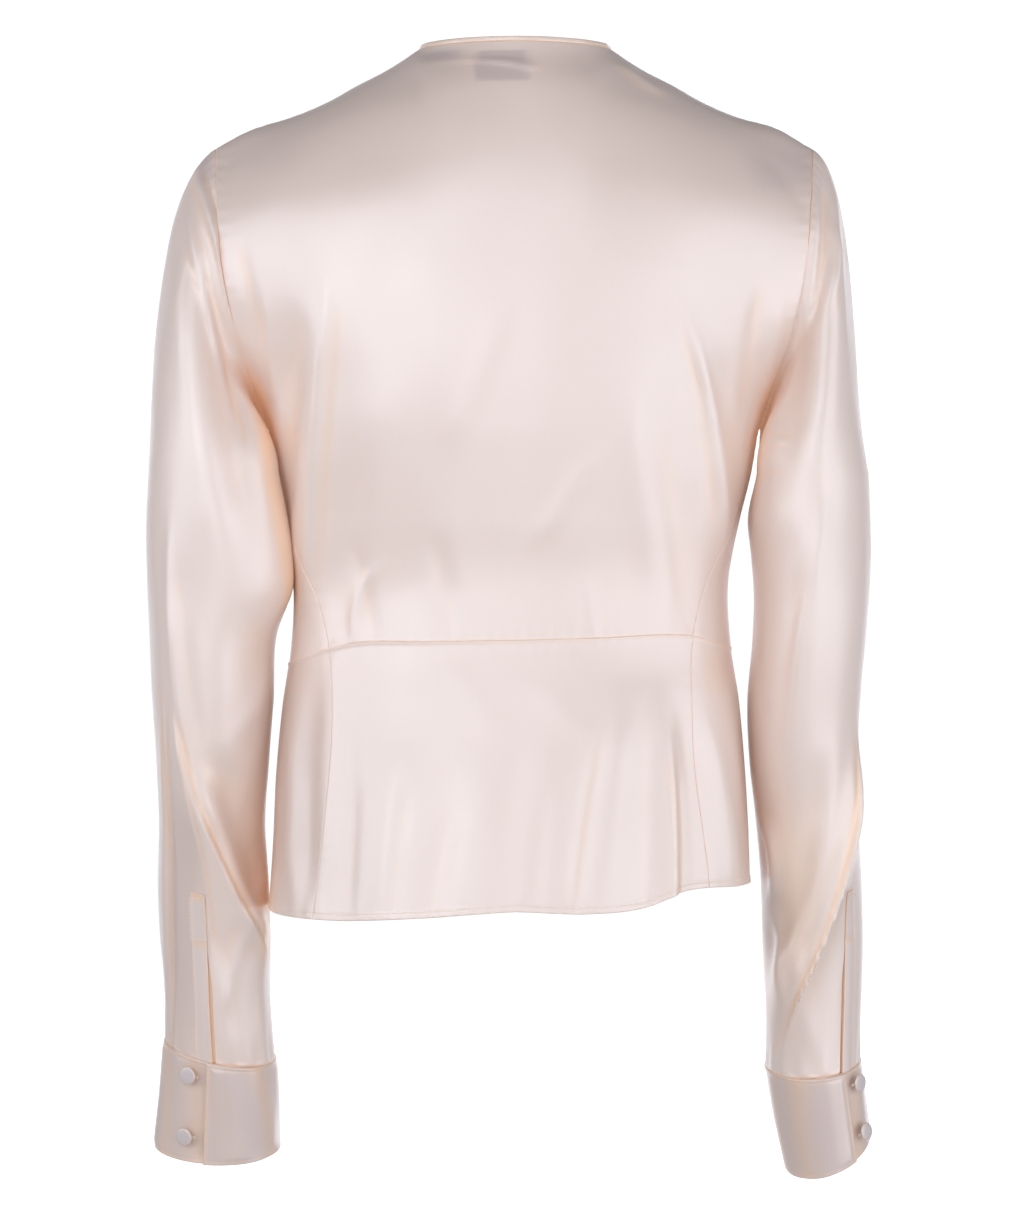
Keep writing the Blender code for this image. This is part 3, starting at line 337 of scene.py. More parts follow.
FACING = 0.55
RIPPLE_HEIGHT, RIPPLE_LENGTH = 0.75, (32.0, 32.0, 62.0)    # the cloth's slow unevenness

# --- cuts: flat width, length and area of a layer, in metres, without seam allowances ---
Cut = namedtuple("Cut", "piece width length area hangs_from carries")

# --- finish ---
SILK = (0.87, 0.685, 0.59)
# darker copies of the silk for the cuffs and the buttons: painted shade
CUFF_SILK = (0.72, 0.55, 0.47)
BUTTON_SILK = (0.64, 0.53, 0.50)
PAINTED_WARM_SHADE_TONE = (1.0, 0.62, 0.36)                  # painted warm shade: the tone that light passing through several layers gives crevices, seams and troughs
PAINTED_SHADE_TONE = (0.50, 0.40, 0.39)                # painted shade: darker tone where less light reaches, and the label's painted shadow through the cloth
THREAD = (0.95, 0.82, 0.70)
# the silk's slow and fine blotches: waves a metre, detail, stretch, strength and brightness
BLOTCHES = ((9, 2, (1, 1, 1), 0.10, 0.86), (260, 3, (1, 1, 9), 0.06, 1.12))
# colour of the painted glow
PAINTED_GLOW_TONE = (1.0, 0.68, 0.45)
LABEL_TONE = (0.42, 0.37, 0.36)
# the painted warm shade and painted glow between a sleeve and the bodice: its strength, width, widest gap, and first
# and last drop
CREVICE_PAINTED_SHADE, CREVICE_WIDTH, CREVICE_GAP = {"left": 0.75, "right": 0.4}, 5.0, 7.0
CREVICE_TOP, CREVICE_END = 190.0, 600.0
GLOW_END, LOW_GLOW = {"left": 345.0, "right": 300.0}, 430.0    # the painted glow there shows above the first and below the second
# reach of the painted warm shade beside seams; strength of the painted glow along the waist seam; strength of the
# painted warm shade at the edges of folds that lie over the cloth
SEAM_SHADE_REACH, SEAM_PAINTED_GLOW, PLEAT_PAINTED_SHADE = 0.6, 0.5, 0.6
PAINTED_GLOW_STRENGTH = 0.07                                # strength of the painted glow: emission that stands in for light coming through the silk where two layers meet
FLOOR_TONE, FLOOR_LEVEL, FLOOR_LIGHT = (0.86, 0.855, 0.85), -0.86, 0.95
FLOOR_REACH, FLOOR_ROUND, BACKDROP_TOP = 10, 4, 12     # metres of floor, of the curve up from it, and of wall
COOL = (0.87, 0.92, 1.0)
WORLD_FADE = (0.0, 0.85, 0.44, 0.03)      # from this height to that, from this strength to that

# --- lights and camera, in metres and watts ---
MIDDLE = (0, 0, -0.36)                     # the lights face it
Light = namedtuple("Light", "name place size power")
LIGHTS = [
    Light("key_left", (1.7, 2.5, 0.3), (1.5, 1.8), 23),
    Light("key_right", (-1.9, 2.3, -0.4), (1.2, 2.6), 22),
    Light("camera_side", (0.2, 3.3, -0.4), (1.4, 2.6), 18),
    Light("high_back", (0.1, 2.8, 1.35), (2.0, 1.0), 10),
    Light("side_left", (2.7, 0.9, 0.2), (1.4, 1.8), 18),
    Light("side_right", (-2.7, 0.9, -0.3), (1.4, 2.6), 20),
    Light("wearer_front", (0, -3.2, -0.3), (4.2, 2.6), 75),
]
CAMERA_PLACE, VIEW_HEIGHT, SENSOR = (0.0019, 3.0, -0.36), 0.7866, 36     # the sensor in millimetres


# --- curves ---
def column(rows, name):
    return np.array([getattr(row, name) for row in rows], float)


def unit(vectors):
    return vectors / np.maximum(np.linalg.norm(vectors, axis=-1, keepdims=True), 1e-9)


def smoothstep(value):
    value = np.clip(value, 0, 1)
    return value * value * (3 - 2 * value)


def rise(value, start, width):
    """0 up to the start, and 1 a width later."""
    return smoothstep((value - start) / width)


def fall(value, end, width):
    """1 until a width before the end, and 0 from the end on."""
    return smoothstep((end - value) / width)


def hermite(t, first, leave, second, arrive, step=1):
    """A curve from the first value to the second with the given slopes; t runs from 0 to 1."""
    return ((2 * t**3 - 3 * t**2 + 1) * first + (t**3 - 2 * t**2 + t) * step * leave
            + (3 * t**2 - 2 * t**3) * second + (t**3 - t**2) * step * arrive)


def spline(knots, values, at, end_slope=None):
    """Smooth curve through values at rising knots, read at the given places."""
    knots, values = np.asarray(knots, float), np.asarray(values, float)
    at = np.clip(np.asarray(at, float), knots[0], knots[-1])
    wide = (-1,) + (1,) * (values.ndim - 1)
    steps = np.diff(knots).reshape(wide)
    slopes = np.diff(values, axis=0) / steps
    tangents = np.empty_like(values)
    tangents[0], tangents[-1] = slopes[0], slopes[-1]
    tangents[1:-1] = (slopes[:-1] * steps[1:] + slopes[1:] * steps[:-1]) / (steps[:-1] + steps[1:])
    if end_slope is not None:
        tangents[-1] = end_slope
    index = np.clip(np.searchsorted(knots, at, side="right") - 1, 0, len(knots) - 2)
    step = np.diff(knots)[index]
    t = ((at - knots[index]) / step).reshape(at.shape + (1,) * (values.ndim - 1))
    step = step.reshape(t.shape)
    return hermite(t, values[index], tangents[index], values[index + 1], tangents[index + 1], step)


def lines(length, start=True, end=True, step=STEP):
    """Places 0 to 1 along a length, closer together at the ends that are sewn or hemmed."""
    near = np.array(EDGE_STEPS)
    low = near if start else near[:1]
    high = length - near[::-1] if end else np.array([length])
    count = max(2, round((high[0] - low[-1]) / step))
    middle = np.linspace(low[-1], high[0], count + 1)[1:-1]
    return np.concatenate([low, middle, high]) / length


def run(points, axis):
    """Distance along a grid's lines from their start."""
    steps = np.linalg.norm(np.diff(points, axis=axis), axis=-1)
    return np.insert(np.cumsum(steps, axis=axis), 0, 0, axis=axis)


def bell(value, middle, width):
    """1 at the middle, and close to 0 two widths away."""
    return np.exp(-((value - middle) / width) ** 2)


def between(table, knot, name, at):
    """A table's column, read between its rows."""
    return spline(column(table, knot), column(table, name), at)


def sample(at, knots, values):
    """Rows of values, read between their knots along straight lines."""
    return np.stack([np.interp(at, knots, line) for line in values.T], axis=-1)


def join(parts):
    """Groups of arrays, joined place by place."""
    return (np.concatenate(group) for group in zip(*parts))


def fold_place(fold, x, drop, span=FOLD_FADE):
    """Distance of each point from a fold's line, to +X, and how far the fold has faded in there."""
    near, far = fold.middle - fold.top, fold.end - fold.middle
    first = (fold.x_middle - fold.x_top) / near
    second = ((fold.x_end - fold.x_middle) / far - first) / (fold.end - fold.top)
    path = fold.x_top + (drop - fold.top) * (first + second * (drop - fold.middle))
    slope = first + second * (2 * drop - fold.top - fold.middle)
    along = (drop - fold.top) / (fold.end - fold.top)
    fade = rise(along, 0, span) * fall(along, 1, span)
    return (x - path) / np.sqrt(1 + slope**2), fade


def fold_height(folds, x, drop):
    """Height of the folds over the plain surface."""
    total = np.zeros_like(x)
    for fold in map(Fold._make, folds):
        away, fade = fold_place(fold, x, drop)
        total += fold.height * bell(away, 0, fold.width) * fade
    return total


def pleat_height(pleats, x, drop):
    """Height of folds whose one side lies over the other, and how close each point is to that edge."""
    total, near = np.zeros_like(x), np.zeros_like(x)
    for pleat in map(Fold._make, pleats):
        away, fade = fold_place(pleat, x, drop, PLEAT_FADE)
        away = away * np.sign(pleat.height)
        over = np.exp(-np.maximum(away, 0) / pleat.width) * smoothstep(away / PLEAT_EDGE + 0.5)
        under = 0.35 * np.exp(np.minimum(away, 0) / pleat.width * 2) * (away < 0)
        total += abs(pleat.height) * (over - under) * fade
        edge = bell(away, -0.9, 1.1) + 0.3 * np.exp(np.minimum(away, 0) / 9) * (away < 0)
        near = np.maximum(near, edge * fade * min(1, abs(pleat.height) / 2))
    return total, near


def turn_in(distance, depth=SEAM_DEPTH, width=SEAM_WIDTH):
    """How far the cloth has turned in at a distance from a seam: a quarter of a round."""
    left = np.clip(1 - distance / width, 0, 1)
    return depth * (1 - np.sqrt(1 - left**2))


def pucker(distance, along, seed):
    """Small uneven ripples that run into a seam."""
    wave = np.sin(along / PUCKER_LENGTH * 2 * np.pi + 2.1 * np.sin(along / 31.0 + seed) + seed)
    return PUCKER_HEIGHT * wave * bell(distance, 0, PUCKER_REACH) * rise(distance, 0, PUCKER_CLEAR)


def ripple(points):
    """Slow unevenness of the cloth at each point."""
    scaled = points / RIPPLE_LENGTH
    return RIPPLE_HEIGHT * np.array([noise.noise(Vector(p)) for p in scaled])


# --- cloth ---
class Cloth:
    """A grid of points, and the painted warm shade, painted shade and painted glow that its material reads at each of
    them.
    """

    def __init__(self, points, kind="", turned=False, faces=None):
        self.kind, self.face, self.shape = kind, "", points.shape[:2]
        self.points = points.reshape(-1, 3).astype(float)
        self.faces = grid_faces(*self.shape, turned=turned) if faces is None else faces
        self.normals = None
        self.warm, self.shade, self.painted_glow = np.zeros((3, len(self.points)))
        rows, columns = self.shape
        v, u = np.mgrid[0:rows, 0:columns]
        self.uv = np.stack([u.ravel() / columns, v.ravel() / rows], axis=-1)

    def grid(self, values=None):
        values = self.points if values is None else values
        count = self.shape[0] * self.shape[1]
        return values[:count].reshape(self.shape + values.shape[1:])

    def place(self):
        """The x and the drop of each point."""
        return self.points[:, 0], -self.points[:, 2]

    def crease(self):
        x, drop = self.place()
        facing = self.normals[:, 1] / FACING
        lift = np.zeros(len(x))
        for table, gain in ((FOLDS, 1), (CREASES, CREASE_GAIN)):
            for face, toward in zip(FACES, (facing, -facing)):
                lift += gain * fold_height(table[(self.kind, face)], x, drop) * smoothstep(toward)
        over, near = pleat_height(PLEATS.get((self.kind, "back"), []), x, drop)
        lift += over * smoothstep(facing)
        # painted warm shade along the edges of folds that lie over the cloth
        self.paint_light_and_shade(warm=PLEAT_PAINTED_SHADE * near * smoothstep(facing))
        lift += ripple(self.points)
        self.push(lift)

    def paint_light_and_shade(self, warm=0, shade=0, painted_glow=0):
        """Raise the painted warm shade, painted shade and painted glow to the given values, where they are lower."""
        self.warm = np.maximum(self.warm, np.ravel(warm))
        self.shade = np.maximum(self.shade, np.ravel(shade))
        self.painted_glow = np.maximum(self.painted_glow, np.ravel(painted_glow))

    def push(self, amount):
        """Move the points along their normals."""
        self.points = self.points + self.normals * amount.reshape(-1, 1)

    def hollow(self):
        """How deep each point lies in a trough, 0 to 1."""
        corners = self.points[self.faces]
        centres = corners.mean(axis=1)
        total, uses = np.zeros_like(self.points), np.zeros(len(self.points))
        for corner in range(4):
            np.add.at(total, self.faces[:, corner], centres)
            np.add.at(uses, self.faces[:, corner], 1)
        inward = ((total / np.maximum(uses, 1)[:, None] - self.points) * self.normals).sum(axis=1)
        return np.where(uses == 4, np.clip(inward / 0.12, 0, 1), 0)


def grid_faces(rows, columns, closed=False, turned=False):
    """Four-sided faces of a grid of points, row by row."""
    row, place = np.mgrid[0:rows - 1, 0:columns if closed else columns - 1]
    beside = (place + 1) % columns
    low, high = row * columns, (row + 1) * columns
    faces = np.stack([low + place, low + beside, high + beside, high + place], axis=-1).reshape(-1, 4)
    return faces[:, ::-1].copy() if turned else faces


def share_normals(cloths):
    """Smooth outward normals; points of joined pieces that coincide share one normal."""
    starts = np.cumsum([0] + [len(cloth.points) for cloth in cloths])
    points = np.concatenate([cloth.points for cloth in cloths])
    place = np.unique(points.round(3) + 0.0, axis=0, return_inverse=True)[1].reshape(-1)
    faces = np.concatenate([cloth.faces + start for cloth, start in zip(cloths, starts)])
    corners = points[faces]
    flat = np.cross(corners[:, 2] - corners[:, 0], corners[:, 3] - corners[:, 1])
    total = np.zeros((place.max() + 1, 3))
    for corner in range(4):
        np.add.at(total, place[faces[:, corner]], flat)
    normals = unit(total)[place]
    for cloth, start in zip(cloths, starts):
        cloth.normals = normals[start:start + len(cloth.points)]


# --- materials ---
def feed(node, **inputs):
    """Sets a node's inputs, or links them where the value is a socket; "_" in a name is a space."""
    for name, value in inputs.items():
        socket = node.inputs[name.replace("_", " ")]
        if isinstance(value, bpy.types.NodeSocket):
            node.id_data.links.new(value, socket)
        else:
            socket.default_value = value
    return node


def new_node(nodes, kind, **inputs):
    return feed(nodes.new("ShaderNode" + kind), **inputs)


def new_material(name):
    made = bpy.data.materials.new(name)
    made.use_nodes = True
    nodes = made.node_tree.nodes
    return made, nodes, nodes["Principled BSDF"]


def flat_colour(nodes, colour):
    made = new_node(nodes, "RGB").outputs["Color"]
    made.default_value = (*colour, 1)
    return made


def read_attribute(nodes, name):
    made = new_node(nodes, "Attribute")
    made.attribute_name = name
    return made.outputs["Fac"]


def mix(nodes, factor, first, second):
    """A colour mix; first is a socket, second a colour and factor a socket."""
    made = new_node(nodes, "Mix")
    made.data_type = "RGBA"
    return feed(made, Factor=factor, A=first, B=(*second, 1)).outputs["Result"]


def noise_field(nodes, scale, detail, stretch=(1, 1, 1)):
    """Noise in the object's own space; scale is in waves a metre."""
    place = new_node(nodes, "TexCoord").outputs["Object"]
    mapped = new_node(nodes, "Mapping", Scale=stretch, Vector=place).outputs["Vector"]
    return new_node(nodes, "TexNoise", Scale=scale, Detail=detail, Vector=mapped).outputs["Fac"]


def map_range(nodes, value, low, high, first=0.3, last=0.7):
    """Turns a value from between the first and the last to between low and high; most noise lies in 0.3 to 0.7."""
    return new_node(nodes, "MapRange", Value=value, From_Min=first, From_Max=last, To_Min=low,
                    To_Max=high).outputs["Result"]


def satin(name, colour, roughness=0.37, anisotropic=0.5):
    """Silk satin: floats of warp thread spread the gloss sideways; fine slubs run along the weft."""
    made, nodes, shader = new_material(name)
    tone = flat_colour(nodes, colour)
    for scale, detail, stretch, share, gain in BLOTCHES:
        field = map_range(nodes, noise_field(nodes, scale, detail, stretch), 0.0, share)
        tone = mix(nodes, field, tone, [min(1, c * gain) for c in colour])
    # mix in the painted warm shade and the painted shade carried by the points
    for read, other in (("warm", PAINTED_WARM_SHADE_TONE), ("shade", PAINTED_SHADE_TONE)):
        tone = mix(nodes, read_attribute(nodes, read), tone, other)
    # painted glow: emission standing in for light that comes through the silk
    painted_glow = mix(nodes, read_attribute(nodes, "painted_glow"), flat_colour(nodes, (0, 0, 0)), PAINTED_GLOW_TONE)
    rough = map_range(nodes, noise_field(nodes, 30, 3), roughness - 0.03, roughness + 0.04)
    tangent = new_node(nodes, "Tangent")
    tangent.direction_type, tangent.uv_map = "UV_MAP", "weave"
    crumple, weave = new_node(nodes, "Bump"), new_node(nodes, "Bump")
    feed(crumple, Strength=0.5, Distance=0.0016, Height=noise_field(nodes, 26, 3, (1, 1, 0.3)))
    feed(weave, Strength=0.25, Distance=0.00012, Height=noise_field(nodes, 420, 3, (1, 1, 6)),
         Normal=crumple.outputs["Normal"])
    feed(shader, Base_Color=tone, Roughness=rough, IOR=1.75, Specular_IOR_Level=1.0, Anisotropic=anisotropic,
         Sheen_Weight=0.06, Sheen_Roughness=0.4, Sheen_Tint=(1.0, 0.93, 0.92, 1), Emission_Color=painted_glow,
         Emission_Strength=PAINTED_GLOW_STRENGTH, Tangent=tangent.outputs["Tangent"], Normal=weave.outputs["Normal"])
    return made


def plain(name, colour, roughness, scale, strength):
    """Thread, tape or floor: one colour with a fine grain."""
    made, nodes, shader = new_material(name)
    base = flat_colour(nodes, colour)
    field = noise_field(nodes, scale, 3)
    tone = mix(nodes, map_range(nodes, field, 0.0, 0.2), base, [c * 0.85 for c in colour])
    bump = new_node(nodes, "Bump", Strength=strength, Distance=0.0002, Height=field)
    feed(shader, Base_Color=tone, Roughness=roughness, Normal=bump.outputs["Normal"])
    return made


# --- objects ---
def put(name, data):
    """A new object in the scene."""
    thing = bpy.data.objects.new(name, data)
    bpy.context.scene.collection.objects.link(thing)
    return thing


def add_object(name, points, faces, material, slot="satin", replaces=(), uv=None, warm=None, shade=None,
               painted_glow=None, sharp=60):
    """A piece of the blouse from points in millimetres."""
    mesh = bpy.data.meshes.new(name)
    mesh.from_pydata((points * MM).tolist(), [], [tuple(face) for face in faces])
    mesh.materials.append(material)
    mesh.shade_smooth()
    mesh.set_sharp_from_angle(angle=np.radians(sharp))
    if uv is not None:
        layer = mesh.uv_layers.new(name="weave")
        corner = np.empty(len(mesh.loops), int)
        mesh.loops.foreach_get("vertex_index", corner)
        layer.data.foreach_set("uv", uv[corner].ravel())
    # the points' painted warm shade, painted shade and painted glow
    for attribute, values in (("warm", warm), ("shade", shade), ("painted_glow", painted_glow)):
        if values is not None:
            made = mesh.attributes.new(attribute, "FLOAT", "POINT")
            made.data.foreach_set("value", np.clip(values, 0, 1))
    thing = put(name, mesh)
    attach(thing, "root")
    if replaces:
        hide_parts(*replaces)
    return thing


def add_shell(name, cloth, material, replaces, wall=WALL, outer=None, inner=None, **more):
    """A thin sheet: its outer and inner skins, and rims round its open edges."""
    outer = cloth.points if outer is None else outer
    inner = cloth.points - cloth.normals * wall if inner is None else inner
    count = len(outer)
    faces = cloth.faces
    sides = np.concatenate([faces[:, [i, (i + 1) % 4]] for i in range(4)])
    codes = sides[:, 0] * count + sides[:, 1]
    lone = ~np.isin(codes, sides[:, 1] * count + sides[:, 0])
    start, end = sides[lone].T
    rims = np.stack([end, start, count + start, count + end], axis=-1)
    every = np.concatenate([faces, count + faces[:, ::-1], rims]).tolist()
    return add_object(name, np.concatenate([outer, inner]), every, material, replaces=replaces,
                      uv=np.tile(cloth.uv, (2, 1)), warm=np.tile(cloth.warm, 2),
                      shade=np.r_[cloth.shade, np.zeros(count)], painted_glow=np.tile(cloth.painted_glow, 2), **more)


def capsule(length, radius, sides=6):
    """Points and faces of one stitch along +X, its middle at the origin."""
    share = np.array([-0.5, -0.44, -0.3, 0.3, 0.44, 0.5])
    wide = np.array([0.25, 0.75, 1, 1, 0.75, 0.25])
    turn = np.linspace(0, 2 * np.pi, sides, endpoint=False)
    points = [(x * length, r * radius * np.cos(a), r * radius * np.sin(a))
              for x, r in zip(share, wide) for a in turn]
    faces = grid_faces(len(share), sides, closed=True, turned=True).tolist()
    last = (len(share) - 1) * sides
    faces += [list(range(sides))[::-1], list(range(last, last + sides))]
    return np.array(points), faces


def add_stitches(name, spots, ways, normals, material, sewing):
    """Many stitches joined in one mesh; each lies along its way with its normal outward."""
    points, faces = capsule(sewing.length, sewing.radius)
    along = unit(ways)
    sideways = unit(np.cross(normals, along))
    frames = np.stack([along, sideways, np.cross(along, sideways)], axis=1)
    every = (spots + normals * sewing.lift)[:, None] + np.einsum("pi,sij->spj", points, frames)
    count = len(points)
    joined = [[corner + stitch * count for corner in face] for stitch in range(len(spots)) for face in faces]
    return add_object(name, every.reshape(-1, 3), joined, material, sharp=180)


def along_path(points, normals, pitch):
    """Evenly spaced spots on a path, with their directions and normals."""
    distance = run(points, 0)
    count = max(2, int(distance[-1] / pitch))
    at = (np.arange(count) + 0.5) * distance[-1] / count
    ways = sample(at + 0.5, distance, points) - sample(at - 0.5, distance, points)
    return sample(at, distance, points), ways, unit(sample(at, distance, normals))


# --- torso ---
def torso_points(angles, drops, side):
    """Points of the torso; angle 0 is the middle of the back, and 180 of the front."""
    turn = np.radians(angles)
    sine, cosine = (np.abs(wave) ** (2 / SQUARENESS) for wave in (np.sin(turn), np.cos(turn)))
    wide, back, front = (between(TORSO, "drop", name, drops) for name in (side, "back", "front"))
    return np.stack([wide * sine * SIDES[side], np.where(angles <= 90, back, -front) * cosine, -drops], axis=-1)


def across(face):
    """Columns of half a panel, from its centre to its side, as shares of the width."""
    shares = lines(HALF_WIDTH, start=False)
    shares[np.abs(shares - NECK_SHARE[face]).argmin()] = NECK_SHARE[face]
    return shares


def level_angles(face, drop):
    """Angles of a half panel's columns at a level, by their shares of the cloth's width."""
    seam = between(SIDE_SEAM, "drop", "angle", drop)
    dense = np.linspace(0 if face == "back" else 180, seam, DENSE)
    lengths = run(torso_points(dense, np.full(DENSE, drop), "left"), 0)
    return np.interp(across(face) * lengths[-1], lengths, dense)


def peplum_half(face, side):
    """Rows of half a peplum panel, from the hem up to the waist seam."""
    rows = []
    length = HEM[0].left - WAIST
    for share in 1 - lines(length):
        angles = level_angles(face, WAIST + share * length)
        waist, hem = (between(edge, "angle", side, angles) for edge in (WAIST_SEAM, HEM))
        rows.append(torso_points(angles, waist + share * (hem - waist), side))
    return np.array(rows)


LOWER_SHARES = 1 - lines(WAIST - UNDERARM, end=False)
REACHES = lines(TOP_REACH, start=False)[1:] * TOP_REACH


def lower_half(face, side):
    """Rows of half a bodice panel, from the waist seam up to the underarm."""
    rows = []
    for share in LOWER_SHARES:
        angles = level_angles(face, UNDERARM + share * (WAIST - UNDERARM))
        waist = between(WAIST_SEAM, "angle", side, angles)
        rows.append(torso_points(angles, UNDERARM + share * (waist - UNDERARM), side))
    return np.array(rows)


def top_row(face, side):
    """Neckline, then shoulder seam, from the centre to the shoulder tip."""
    shares, neck_at = across(face), NECK_SHARE[face]
    neck = shares[shares <= neck_at] / neck_at
    if face == "front":
        points = np.array(FRONT_NECKLINE) * (1, 1, -1)
        line = spline(np.arange(len(points)), points, neck * (len(points) - 1))
    else:
        turn = neck * np.pi / 2
        y = NECK_Y + (BACK_NECK_Y - NECK_Y) * np.cos(turn)
        line = np.stack([NECK_X * np.sin(turn), y, BACK_NECK_RISE * np.cos(turn)], axis=-1)
    beyond = (shares[shares > neck_at] - neck_at) / (1 - neck_at)
    x = NECK_X + beyond * (SHOULDER[-1].x - NECK_X)
    drop = between(SHOULDER, "x", "drop", x)
    ease = (TIP_X[side] / x[-1] - 1) * rise(beyond, 0.8, 0.2) + 1
    seam = np.stack([x * ease, NECK_Y * (1 - beyond), -drop], axis=-1)
    return np.concatenate([line, seam])


def section_row(section, face, side):
    """One section of the upper bodice; it starts beyond the centre, so that the halves join smoothly."""
    neck_at = NECK_SHARE[face]
    knots = (-neck_at / 2, 0, neck_at / 2, neck_at, (1 + neck_at) / 2, 1)
    points = np.array((section.half,) + section[1:], float)
    points[0, 0] *= -1
    points[-2:, 0] *= TIP_X[side] / TIP_X["left"]
    points[:, 2] *= -1
    if face == "front":
        points[:, 1] *= -1
    return spline(knots, points, across(face))


def top_slopes(face, below, top):
    """How the upper bodice arrives at the neckline and at the shoulder seam."""
    share = np.minimum(across(face) / NECK_SHARE[face], 1) ** 2
    forward = np.array([1, -1 if face == "back" else 1, 1])
    rising, level = forward * NECK_RISE, forward * SHOULDER_LEVEL
    way = unit(rising + (level - rising) * share[:, None])
    speed = np.linalg.norm(top - below, axis=1) / (TOP_REACH - UPPER_BACK[-1].reach)
    return way * ARRIVAL * speed[:, None]


def upper_half(face, side, reaches):
    """Rows of half a bodice panel, at the given reaches above the underarm."""
    table = UPPER_BACK if face == "back" else UPPER_FRONT
    mirror = np.array([SIDES[side], 1, 1])
    low, base = (torso_points(level_angles(face, drop), np.full(len(across(face)), drop), side)
                 for drop in (UNDERARM + LEAD_IN, UNDERARM))
    sections = [section_row(section, face, side) * mirror for section in table]
    top = top_row(face, side) * mirror
    knots = [-LEAD_IN, 0] + [section.reach for section in table] + [TOP_REACH]
    return spline(knots, [low, base] + sections + [top], reaches, top_slopes(face, sections[-1], top))


def bodice_half(face, side):
    return np.concatenate([lower_half(face, side), upper_half(face, side, REACHES)])


def whole_panel(half, kind, face):
    """Both halves of a panel in one cloth, from the wearer's right to the left."""
    points = np.concatenate([half(face, "right")[:, :0:-1], half(face, "left")], axis=1)
    cloth = Cloth(points, kind, turned=face == "back")
    cloth.face = face
    return cloth


def shoulder_columns(cloth):
    """Which columns end at the shoulder seam, not at the neckline."""
    shares = across(cloth.face)
    return np.concatenate([shares[:0:-1], shares]) >= NECK_SHARE[cloth.face] - 1e-9


def seam_distances(cloth):
    """Distances from a panel's bottom, top and nearer side edge."""
    points = cloth.grid()
    down, wide = run(points, 0), run(points, 1)
    return down, down[-1] - down, np.minimum(wide, wide[:, -1:] - wide)


def sew_bodice(cloth):
    """Turns the seams in, puckers the cloth beside them, and paints warm shade along them and glow along the waist
    seam.
    """
    bottom, top, side = seam_distances(cloth)
    top = np.where(shoulder_columns(cloth)[None], top, 1000)
    x, z = cloth.grid()[..., 0], cloth.grid()[..., 2]
    inward = turn_in(bottom, 0.3, 1.2) + turn_in(top) + turn_in(side)
    rough = pucker(bottom, x, 0.4) + pucker(side, z, 1.7) + 0.6 * pucker(top, x, 2.9)
    cloth.push(rough - inward)
    edge = np.minimum(np.minimum(bottom, top), side)
    # painted warm shade along all its seams, and painted glow along the waist seam
    cloth.paint_light_and_shade(warm=0.25 * np.exp(-edge / SEAM_SHADE_REACH), painted_glow=SEAM_PAINTED_GLOW * np.exp(-bottom / 0.8))


def sew_peplum(cloth):
    """Does the same for the peplum, with its raised top edge and its turned-up hem."""
    bottom, top, side = seam_distances(cloth)
    x = cloth.grid()[..., 0]
    lip = bell(top, LIP_WIDTH / 2, LIP_WIDTH)
    raised = LIP_HEIGHT * lip - turn_in(top, 0.5, 0.35)
    hem = HEM_STEP * (1 - rise(bottom, HEM_WIDTH, 0.6)) - turn_in(bottom, 0.5, 0.8)
    groove = -0.3 * bell(bottom, HEM_LINE, 0.5)
    rough = pucker(top, x, 0.9) + 1.1 * pucker(bottom, x, 3.3) + pucker(side, cloth.grid()[..., 2], 5.0)
    cloth.push(raised + hem + groove + rough - turn_in(side))
    # painted warm shade at the side seams, the hem's sewn line and its edge, a little on the raised top edge; painted
    # glow under the waist seam
    edge = 0.4 * np.exp(-side / SEAM_SHADE_REACH) + 0.3 * bell(bottom, HEM_LINE, 0.7) + 0.3 * np.exp(-bottom / 0.8)
    cloth.paint_light_and_shade(warm=np.maximum(0.6 * edge, 0.15 * lip), painted_glow=SEAM_PAINTED_GLOW * np.exp(-top / 1.0))


def paint_crevice_shade(cloth):
    """Painted warm shade and painted glow between a sleeve and the bodice beside it, standing in for light that
    passes through the silk there.
    """
    x, drop = cloth.place()
    for side, sign in SIDES.items():
        rings = SLEEVES[side]
        inner, wall = between(rings, "drop", "inner", drop), between(TORSO, "drop", side, drop)
        gap = np.maximum(inner - wall, 0)
        middle = np.maximum(wall, (inner + wall) / 2)
        near = bell(x * sign, middle, CREVICE_WIDTH) * np.exp(-gap / CREVICE_GAP)
        near *= rise(drop, CREVICE_TOP, 35) * fall(drop, CREVICE_END, 40)
        cloth.paint_light_and_shade(warm=CREVICE_PAINTED_SHADE[side] * near)
        near *= 0.4 + 0.6 * (cloth.normals[:, 1] > -0.2)
        cloth.paint_light_and_shade(painted_glow=near * np.maximum(fall(drop, GLOW_END[side], 40), 0.7 * rise(drop, LOW_GLOW, 50)))


def paint_shade_patches(cloth):
    """Soft places of painted shade, where the cloth is made deeper in tone."""
    x, drop = cloth.place()
    for patch in PAINTED_SHADE_PATCHES.get(cloth.kind, []) + PAINTED_SHADE_PATCHES.get(cloth.kind + "_" + cloth.face, []):
        near = np.exp(-(np.abs((x - patch.x) / patch.wide) ** 3 + np.abs((drop - patch.drop) / patch.long) ** 3))
        near *= cloth.normals[:, 1] > 0
        cloth.paint_light_and_shade(warm=patch.warm * near, shade=patch.shade * near)


def label_shadow(cloth):
    """Painted shadow of the label inside the back neck, where it shows through the cloth."""
    x, drop = cloth.place()
    (low, high), (low_drop, high_drop) = LABEL_X, LABEL_SHOWS
    inside = smoothstep((x - low) / 2 + 0.5) * smoothstep((high - x) / 2 + 0.5)
    inside *= smoothstep((drop - low_drop) / 1.5) * smoothstep((high_drop - drop) / 1.2)
    cloth.paint_light_and_shade(shade=LABEL_SHADE * inside * (cloth.normals[:, 1] > 0))


